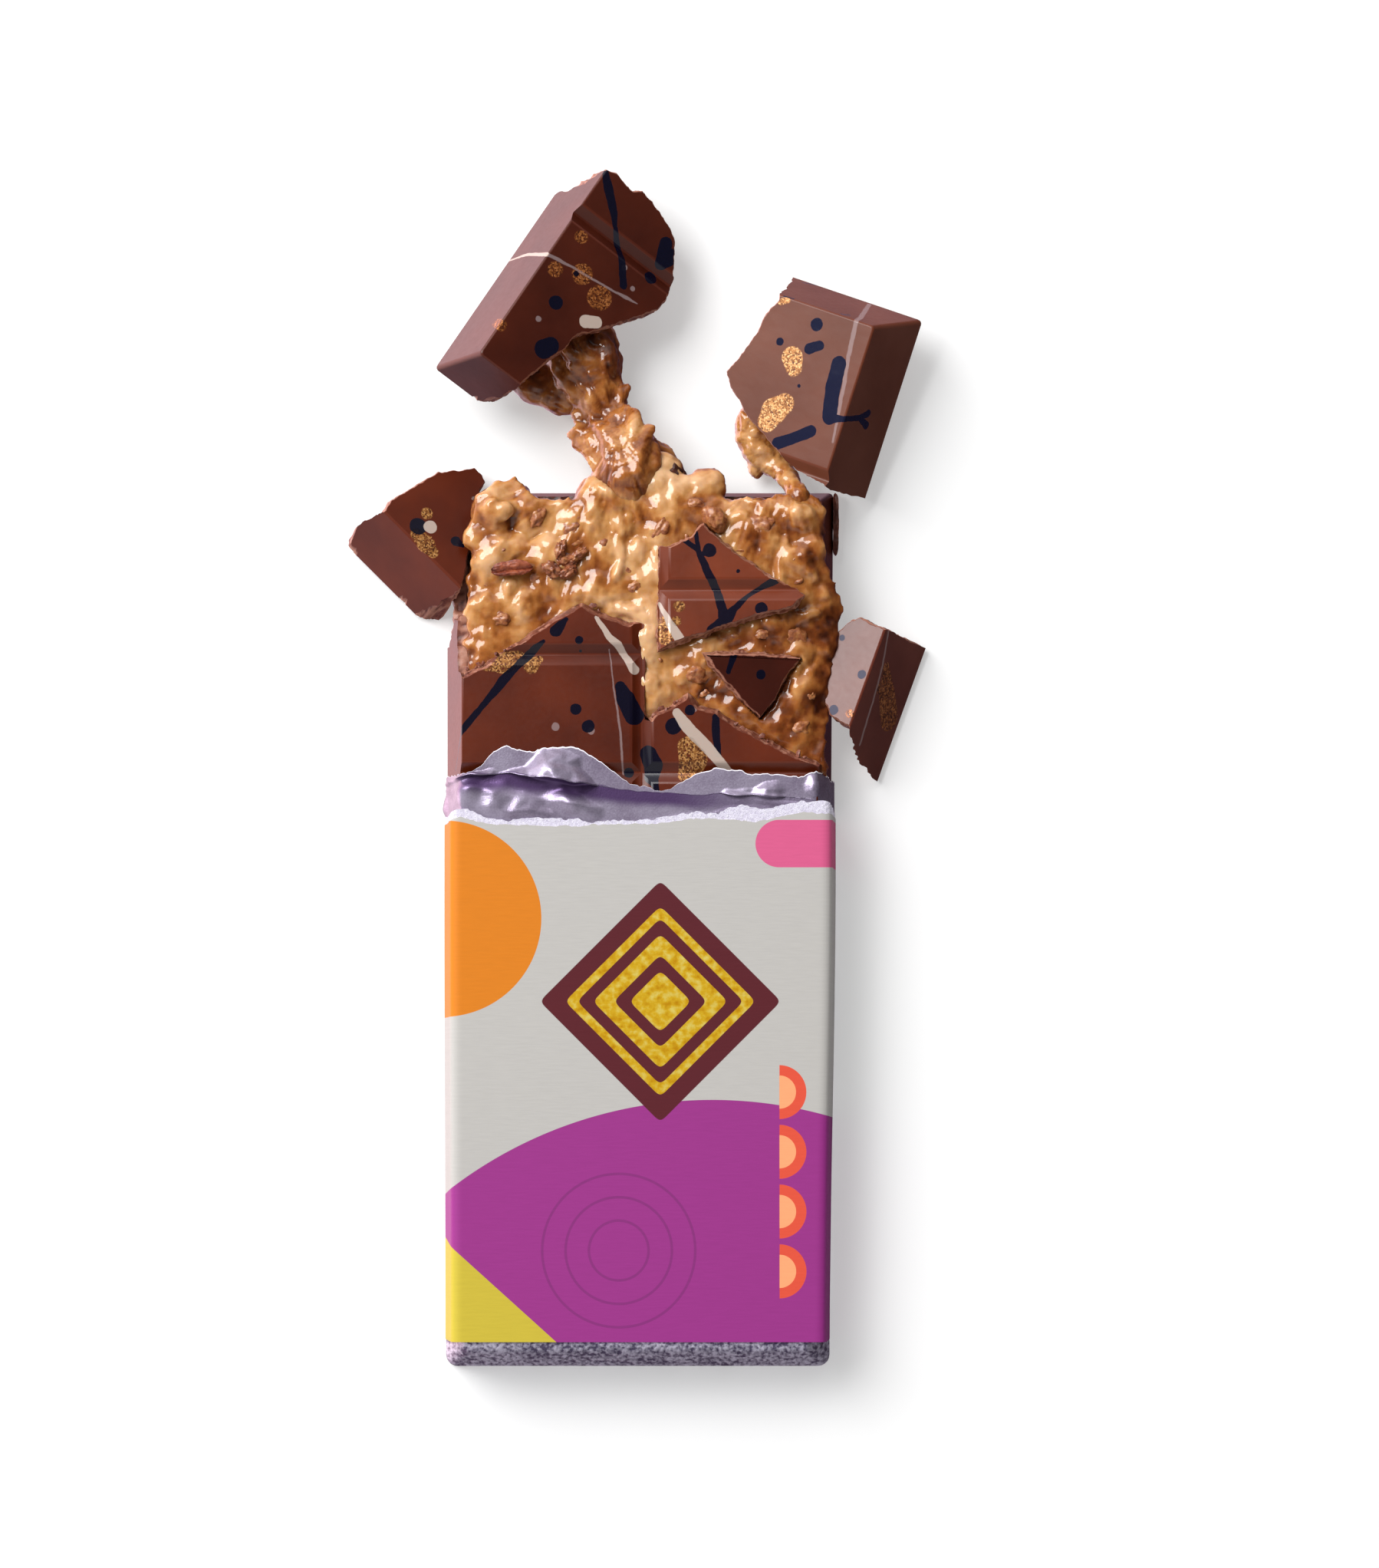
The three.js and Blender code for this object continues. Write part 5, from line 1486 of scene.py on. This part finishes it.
def foil_row(s, x, rows):
    """Where a row of the torn end lies along the bar, how far off it, how crumpled, and how much on top."""
    top = 1 - ease(abs(s), TOP_HALF_WIDTH - 2, TOP_HALF_WIDTH + 3)
    tear = along_line(FOIL_TEAR, x) + layered(s, 0, 0, TEAR_NOISE)
    fold = along_line(FOIL_FOLD, x) + 0.35 * grain(s, 0, 0, 6, 83)
    tear = max(tear, fold + 0.35)
    crest = along_line(FOIL_CREST, x) * (1 + 0.25 * grain(s, 0, 0, 5, 84))
    if rows < BENT_ROWS:
        share = rows / BENT_ROWS
        y = tear + (fold - tear) * share ** 1.3
        out = 0.25 + (crest - 0.1) * share ** 1.4
        crumpled = min(1, 0.5 + out * 0.3)
    elif rows < FOLDED_ROWS:
        share = (rows - BENT_ROWS) / (FOLDED_ROWS - BENT_ROWS)
        y = fold + FOIL_DIP * (math.sin(share * math.pi * 0.9) * top * crest / 2.6 - share)
        out = 0.25 + (crest - 0.1) * (1 - ease(share, 0, 1))
        crumpled = min(1, 0.5 + out * 0.3)
    else:
        share = (rows - FOLDED_ROWS) / (1 - FOLDED_ROWS)
        low = fold - FOIL_DIP
        y = low + (FOIL_REACH - low) * share
        core = along_line(CARD_TEAR, x) + along_line(CARD_CORE, x)
        under = ease(y, core - 0.3, core + 1.6)
        out = 0.22 + under * (0.1 + 1.1 * ease(share, 0, 0.3) * (0.35 + 0.65 * top))
        crumpled = 0.7 * under * ease(low - y, -0.3, 1.3)
    return y, out, crumpled, top


def foil_front():
    """The torn end of the foil: bent back on itself in front of the tear, then running in under the card."""
    foil = lacquered_foil("lilac_lacquered_foil", "867990", "AAA0B6", shine=0.55, sparkle=0.2, satin=0.34)
    bm = bmesh.new()
    bmesh.ops.create_grid(bm, x_segments=200, y_segments=64, size=0.5)
    torn = bm.verts.layers.float.new("torn")
    slot = bm.verts.layers.float.new("slot")
    for v in bm.verts:
        s = v.co.x * 2 * (SKIN_HALF - 0.3)
        rows = 0.5 - v.co.y
        x = on_skin(s, 0.5)[0]
        y, out, crumpled, top = foil_row(s, x, rows)
        crumples = sum(high * crumple(s, y, wide, turn) for wide, high, turn in CRUMPLES)
        out += crumpled * (crumples + 0.5) * (0.4 + 0.6 * top)
        out += along_line(FOIL_RIDGES, x) * min(1, rows / 0.3) * (1 - ease(rows, 0.42, 0.6)) * top
        px, pz = on_skin(s, max(out, FOIL_GAP))
        v.co = (px, y, pz)
        v[torn] = 1 - ease(rows * 20, 0.25, 1.0)
        # the slot behind the fold is painted darker, partly as shade and partly as the purple lacquered side;
        # it is widest and deepest on the left
        right = ease(s, 5, 25)
        shaded = ease(rows, 0.41, 0.43) * (1 - ease(rows, 0.58, 0.66 + 0.08 * right)) * top
        v[slot] = shaded * (1 - 0.7 * right)
    sheet = sheet_of("foil_torn_end", bm, foil, 0.1)
    sheet.data.shade_smooth()
    return finish_piece(sheet, "foil_torn_end", "foil_wrap")


FOIL_END_Y = -78.5  # the card hides the foil from here on
FOIL_MARGIN = 0.28
FOIL_SHORTER = 1.6  # the closed end is pressed in this far
FOIL_BODY_REACH = 17.5
FOIL_ROUND = 2.2
FINEST_CRINKLE = 1.1


def foil_body():
    """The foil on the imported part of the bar. Its closed end shows past the card, with rounded corners."""
    foil = lacquered_foil("lilac_foil_end", "544A68", "CCC6DA", shine=0.3, sparkle=0.5, satin=0.42,
                          speckle=2.4, reach=(1.4, 2.05), grit=0.8)
    bm = bmesh.new()
    bmesh.ops.create_cube(bm, size=1)
    low, high = -BAR_LENGTH / 2 - FOIL_MARGIN + FOIL_SHORTER, FOIL_BODY_REACH
    for v in bm.verts:
        up = v.co.z > 0
        v.co.x *= 2 * ((TOP_HALF_WIDTH if up else BAR_WIDTH / 2) + FOIL_MARGIN)
        v.co.y = high if v.co.y > 0 else low + (DRAFT if up else 0)
        v.co.z = BAR_TOP + FOIL_MARGIN if up else BAR_FLOOR - FOIL_MARGIN
    round_edges(bm, [e for e in edges_along(bm, 2) if e.verts[0].co.y < 0], FOIL_ROUND, 5)
    round_edges(bm, edges_at(bm, BAR_TOP + FOIL_MARGIN), FOIL_ROUND, 6)
    # only the closed end shows, so only it is fine enough to crinkle
    bmesh.ops.bisect_plane(bm, geom=bm.verts[:] + bm.edges[:] + bm.faces[:], plane_co=(0, FOIL_END_Y, 0),
                           plane_no=(0, 1, 0))
    for _ in range(4):
        shown = [e for e in bm.edges if all(v.co.y < FOIL_END_Y + NEAR for v in e.verts)]
        longest = [e for e in shown if e.calc_length() > FINEST_CRINKLE]
        if longest:
            bmesh.ops.subdivide_edges(bm, edges=longest, cuts=1, use_grid_fill=True)
    bmesh.ops.triangulate(bm, faces=bm.faces[:])
    bm.normal_update()
    moves = []
    for v in bm.verts:
        x, y, z = v.co
        amount = ease(-y, -FOIL_END_Y - 0.5, -FOIL_END_Y + 1) * ease(z, 1.5, 3)
        size = 0.28 * (abs(grain(x, y, z, 5, 91)) - 0.3) + 0.12 * grain(x, y, z, 1.4, 92)
        moves.append(v.co + v.normal * size * amount)
    for v, place in zip(bm.verts, moves):
        v.co = place
    body = squeeze_end(object_of("foil_body", bm, foil))
    return finish_piece(smooth(body, 45, weighted=False), "foil_body", "foil_wrap")


# The card

# How far the card stands off the walls, at their foot and at their top
CARD_OFF_RIGHT = (-0.4, 2.1)
CARD_OFF_LEFT = (-0.3, 1.5)
CARD_COLUMNS = 210
CARD_ROWS = 30
FINE_ROWS = 12  # so many of them lie in the last millimetres before the tear
FINE_REACH = 4
CARD_NOISE = ((2.4, 0, 1.0), (0.7, 1, 0.6))  # size, seed and height


def card_ply(name, material, out, thick, edge, seed, rough):
    """One ply of the card band, out millimetres off the bar and torn off along an edge."""
    bm = bmesh.new()
    bmesh.ops.create_grid(bm, x_segments=CARD_COLUMNS, y_segments=CARD_ROWS, size=0.5)
    end = CARD_END_Y + CARD_INSET
    fine = 1 - FINE_ROWS / CARD_ROWS
    for v in bm.verts:
        s = v.co.x * 2 * SKIN_HALF
        px, pz = on_skin(s, out)
        tear = edge(px) + rough * layered(s, 0, 0, CARD_NOISE, seed)
        share = v.co.y + 0.5
        y = end + (tear - FINE_REACH - end) * min(share / fine, 1)
        y += FINE_REACH * max(0, (share - fine) / (1 - fine))
        pz = max(pz, BAR_FLOOR - out)
        high = min(1, (pz - BAR_FLOOR) / BAR_HEIGHT)
        right, left = (foot + (top - foot) * high for foot, top in (CARD_OFF_RIGHT, CARD_OFF_LEFT))
        v.co = (px + right * ease(px, 15, 34) - left * ease(-px, 15, 34), y, pz)
    sleeve = sheet_of(name, bm, material, thick)
    return finish_piece(smooth(squeeze_end(sleeve), 50, weighted=False), name, "card_band")


def torn_card_core():
    """The card's core: soft white fibres, laid bare where the print tore away."""
    material, tree, surface = new_material("torn_card_core")
    place = add(tree, "TexCoord").outputs["Object"]
    fibres = add(tree, "TexNoise",
                 {"Vector": place, "Scale": 1 / (0.5 * MM), "Detail": 5.0, "Roughness": 0.7})
    colour = add(tree, "ValToRGB", {"Fac": fibres}, stops=[(0.3, "C6BED6"), (0.6, "E6E2EF")])
    bump = add(tree, "Bump", {"Height": fibres, "Strength": 0.9, "Distance": 0.35 * MM})
    connect(tree, surface, {"Base Color": colour, "Roughness": 0.9, "Normal": bump})
    return material


# The print's plain motifs in millimetres about the bar's middle: discs are (x, y, radius)
PURPLE_DISC = (14, -116, 83)
PURPLE_BELOW = -56
RINGS = ((-4, -62, 15), (-4, -62, 10.5), (-4, -62, 6))
RING_LINE = 0.5
ORANGE_DISC = (-38, 2, 19)
PINK_BAR = [(27, 16.5, 4.6), (60, 16.5, 4.6)]
CORNER_BELOW = -94
CORAL_EDGE = 27
CORAL_ROWS = (-66, -54.5, -43, -31.5)
LOZENGE_PLACE = (4, -14, 0)
LOZENGE_REACH = 16.5
GOLD_BANDS = ((13.0, 11.4), (9.2, 6.4), (4.2, 0.0))
PRINT_EDGE = 0.05


def printed_card():
    """Offset print on satin card with a fine linen grain: plain fields of colour and a gold foil mark."""
    material, tree, surface = new_material("printed_satin_card")
    place = add(tree, "TexCoord").outputs["Object"]
    # millimetres about the bar's own middle
    flat = add(tree, "VectorMath", {0: place, 1: BAR_PLACE}, operation="SUBTRACT")
    flat = add(tree, "VectorMath", {0: flat, 1: (1 / MM, 1 / MM, 0)}, operation="MULTIPLY")
    axes = add(tree, "SeparateXYZ", {0: flat})
    x, y = axes.outputs["X"], axes.outputs["Y"]

    def disc(x, y, radius):
        """1 inside a disc."""
        return marks_mask(tree, flat, [[(x, y, radius)]], PRINT_EDGE)

    def past(value, limit, below=0.0, above=1.0):
        """One value below a limit and another above it, with a crisp edge."""
        return add(tree, "MapRange", {
            "Value": value, "From Min": limit - PRINT_EDGE, "From Max": limit + PRINT_EDGE,
            "To Min": below, "To Max": above,
        })

    def cut_off(mask, value, limit):
        """A mask that is only kept above a limit."""
        return add(tree, "Math", {0: mask, 1: past(value, limit)}, operation="MULTIPLY", use_clamp=True)

    # the purple field, with tone on tone rings
    fields = [(disc(*PURPLE_DISC), "933080"), (past(y, PURPLE_BELOW, 1.0, 0.0), "933080")]
    for cx, cy, radius in RINGS:
        ring = add(tree, "Math", {0: disc(cx, cy, radius), 1: disc(cx, cy, radius - RING_LINE)},
                   operation="SUBTRACT", use_clamp=True)
        fields.append((add(tree, "Math", {0: ring, 1: 0.75}, operation="MULTIPLY", use_clamp=True), "7C2A6E"))
    # orange half disc on the left edge, pink bar at the upper right, yellow-green corner at the lower left
    slope = add(tree, "Math", {0: x, 1: 0.9, 2: y}, operation="MULTIPLY_ADD")
    fields += [(disc(*ORANGE_DISC), "D07818"), (marks_mask(tree, flat, [PINK_BAR]), "CE5884"),
               (past(slope, CORNER_BELOW, 1.0, 0.0), "C2AE38")]
    # a row of coral half discs
    for cy in CORAL_ROWS:
        for radius, tone in ((5.2, "D9503A"), (3.2, "F0A070")):
            fields.append((cut_off(disc(CORAL_EDGE, cy, radius), x, CORAL_EDGE), tone))
    # a dark lozenge with a gold foil mark
    turned = add(tree, "Mapping",
                 {"Vector": flat, "Location": LOZENGE_PLACE, "Rotation": (0, 0, math.pi / 4)},
                 vector_type="TEXTURE")
    square = add(tree, "SeparateXYZ", {0: add(tree, "VectorMath", {0: turned}, operation="ABSOLUTE")})
    reach = add(tree, "Math", {0: square.outputs["X"], 1: square.outputs["Y"], 2: 2.0},
                operation="SMOOTH_MAX")
    fields.append((past(reach, LOZENGE_REACH, 1.0, 0.0), "551A22"))
    colour = linear("B5B2AE")
    for mask, tone in fields:
        colour = add(tree, "Mix", {"Factor": mask, UNDER: colour, OVER: linear(tone)}, data_type="RGBA")
    gold = None
    for outer, inner in GOLD_BANDS:
        band = past(reach, outer, 1.0, 0.0)
        if inner:
            band = cut_off(band, reach, inner)
        gold = add(tree, "Math", {0: gold, 1: band}, operation="MAXIMUM") if gold else band
    # painted sheen: the gold is paler and deeper in patches along its crinkle, as if they caught the light
    crinkle = add(tree, "TexNoise", {"Vector": flat, "Scale": 1 / 1.5, "Detail": 4.0})
    gilt = add(tree, "ValToRGB", {"Fac": crinkle},
               stops=[(0.3, "DE9E16"), (0.5, "F6C62E"), (0.7, "FFE978")])
    colour = add(tree, "Mix", {"Factor": gold, UNDER: colour, OVER: gilt}, data_type="RGBA")
    # linen emboss: threads are drawn 0.5 mm apart, where the real ones are about 0.25 mm
    threads = add(tree, "Mapping", {"Vector": flat, "Scale": (0.25, 2.4, 1)})
    weave = add(tree, "TexNoise", {"Vector": threads, "Scale": 1.0, "Detail": 3.0})
    tint = add(tree, "MapRange",
               {"Value": weave, "From Min": 0.3, "From Max": 0.7, "To Min": 0.97, "To Max": 1.02})
    colour = add(tree, "VectorMath", {0: colour, "Scale": tint}, operation="SCALE")
    bump = add(tree, "Bump", {"Height": weave, "Strength": 0.12, "Distance": 0.15 * MM})
    shine = add(tree, "Math", {0: gold, 1: 0.45}, operation="MULTIPLY")
    rough = add(tree, "MapRange", {"Value": gold, "To Min": 0.55, "To Max": 0.25})
    connect(tree, surface, {"Base Color": colour, "Metallic": shine, "Roughness": rough, "Normal": bump,
                            "Specular IOR Level": 0.2})
    return material


def print_edge(x):
    """Where the print tore, along the bar."""
    return along_line(CARD_TEAR, x)


def core_edge(x):
    """Where the white core tore."""
    return print_edge(x) + along_line(CARD_CORE, x)


bar_shell()
opened_filling()
packed_filling()
filling_pull("left_filling_pull", *LEFT_PULL, seed=61, ropes=44)
filling_pull("right_filling_pull", *RIGHT_PULL, seed=62, ropes=18)
set_bits()
foil_front()
foil_body()
card_ply("card_print", printed_card(), out=0.7, thick=0.12, edge=print_edge, seed=95, rough=0.28)
card_ply("card_core", torn_card_core(), out=0.57, thick=0.17, edge=core_edge, seed=97, rough=0.45)
for number, (piece_name, facts) in enumerate(FRAGMENTS.items()):
    fragment(piece_name, facts, 2.0 + number, WALL_BREAK, rows=2, hollow=True)
for number, (piece_name, facts) in enumerate(SPLINTERS.items()):
    fragment(piece_name, facts, 7.0 + number, PLATE_BREAK, rows=3, hollow=False)


# The table, the lights and the camera

TABLE_GLOW = 0.37


def table():
    """A white sheet that is lit from below a little, which keeps the shadows on it pale."""
    bm = bmesh.new()
    bmesh.ops.create_grid(bm, x_segments=1, y_segments=1, size=1.6)
    material, tree, surface = new_material("white_table")
    connect(tree, surface, {"Base Color": linear("CCCCCC"), "Roughness": 0.6, "Specular IOR Level": 0.2,
                            "Emission Color": linear("FFFFFF"), "Emission Strength": TABLE_GLOW})
    sheet = object_of("table", bm, material)
    sheet.visible_glossy = False  # what would mirror the sheet mirrors the room's lower half


LAMP_PLACE = (-0.8, 0.68, 1.1)
LAMP_AIM = (0, 0.02, 0)
LAMP_SIZE = 1.0
LAMP_POWER = 30.5


def softbox():
    """The one lamp: a square softbox at the far left."""
    lamp = bpy.data.lights.new("softbox", "AREA")
    lamp.shape = "SQUARE"
    lamp.size = LAMP_SIZE
    lamp.energy = LAMP_POWER
    made = bpy.data.objects.new("softbox", lamp)
    made.location = LAMP_PLACE
    made.rotation_euler = (Vector(LAMP_AIM) - Vector(LAMP_PLACE)).to_track_quat("-Z", "Y").to_euler()
    SCENE.collection.objects.link(made)


# How the room's light changes with the way a ray points: along which direction, over which span of it, and
# from which level to which
ROOM_FADES = {
    "walls": ("out", (0.2, 0.6), (0.3, 1.15)),
    "front": ("back", (-0.4, 0.1), (0.6, 1.0)),
    "left panel": ("right", (-0.95, -0.82), (0.9, 0.0)),
    "far side": ("right", (0.1, 0.75), (1.0, 0.1)),
    "overhead": ("up", (0.8, 0.95), (1.0, 0.12)),
    "below": ("off the lamp", (-0.4, 0.3), (1.45, 0.12)),
    "below the lamp": ("off the lamp", (-0.9, -0.45), (1.9, 0.0)),
    "dimmer behind": ("back right", (0.28, 0.42), (1.0, 0.6)),
}
HORIZON = (-0.12, 0.12)
BELOW_TINTS = ("FFD8DE", "C096BC")  # the light from under the horizon, on the lamp's side and away from it
TINTED = (-0.45, 0.15)  # the span over which it changes


def surroundings():
    """A white room with bright walls in front and behind and a bright panel on the left, dim on the side away
    from the lamp and dark round the camera overhead. Under the horizon, which only glossy walls mirror, it is
    tinted, bright on the lamp's side and a little dimmer behind on the right."""
    world = bpy.data.worlds.new("studio")
    world.use_nodes = True
    tree = world.node_tree
    ray = add(tree, "SeparateXYZ", {0: add(tree, "TexCoord").outputs["Generated"]}).outputs
    ways = {
        "right": ray["X"], "back": ray["Y"], "up": ray["Z"],
        "out": add(tree, "Math", {0: ray["Y"]}, operation="ABSOLUTE"),
        "off the lamp": add(tree, "Math", {0: ray["Y"], 1: -0.5, 2: ray["X"]}, operation="MULTIPLY_ADD"),
        "back right": add(tree, "Math", {0: ray["X"], 1: 0.6, 2: ray["Y"]}, operation="MULTIPLY_ADD"),
    }
    light = {
        name: add(tree, "MapRange", {"Value": ways[way], "From Min": start, "From Max": stop, "To Min": first,
                                     "To Max": last}, interpolation_type="SMOOTHSTEP")
        for name, (way, (start, stop), (first, last)) in ROOM_FADES.items()
    }
    above = light["walls"]
    for name, operation in (("front", "MULTIPLY"), ("left panel", "ADD"), ("far side", "MULTIPLY"),
                            ("overhead", "MULTIPLY")):
        above = add(tree, "Math", {0: above, 1: light[name]}, operation=operation)
    below = add(tree, "Math", {0: light["below"], 1: light["below the lamp"]}, operation="ADD")
    below = add(tree, "Math", {0: below, 1: light["dimmer behind"]}, operation="MULTIPLY")
    horizon = add(tree, "MapRange", {"Value": ways["up"], "From Min": HORIZON[0], "From Max": HORIZON[1]})
    strength = add(tree, "Mix", {"Factor": horizon, LOW: below, HIGH: above}, data_type="FLOAT")
    lit = add(tree, "MapRange", {"Value": ways["off the lamp"], "From Min": TINTED[0], "From Max": TINTED[1]})
    tint = add(tree, "ValToRGB", {"Fac": lit}, stops=zip((0.0, 1.0), BELOW_TINTS))
    tint = add(tree, "Mix", {"Factor": horizon, UNDER: tint, OVER: linear("FFFFFF")}, data_type="RGBA")
    connect(tree, tree.nodes["Background"], {"Color": tint, "Strength": strength})
    SCENE.world = world


CAMERA_AIM = (9.64, 28.9, 0)
CAMERA_TILT = math.radians(3)
CAMERA_DISTANCE = 1.155
SENSOR = 36
VIEW_HEIGHT = 0.30783  # what the picture's height spans at the table


def camera():
    """Looks down on the bar from its packed end's side, as the photograph does."""
    lens = bpy.data.cameras.new("camera")
    lens.sensor_fit = "VERTICAL"
    lens.sensor_height = SENSOR
    lens.lens = SENSOR * CAMERA_DISTANCE / VIEW_HEIGHT
    lens.clip_start = 0.05
    made = bpy.data.objects.new("camera", lens)
    target = BAR_PLACE + Vector(CAMERA_AIM) * MM
    back = Vector((0, -math.sin(CAMERA_TILT), math.cos(CAMERA_TILT)))
    made.location = target + back * CAMERA_DISTANCE
    made.rotation_euler = (CAMERA_TILT, 0, 0)
    SCENE.collection.objects.link(made)
    SCENE.camera = made


table()
softbox()
surroundings()
camera()
SCENE.view_settings.view_transform = "Standard"
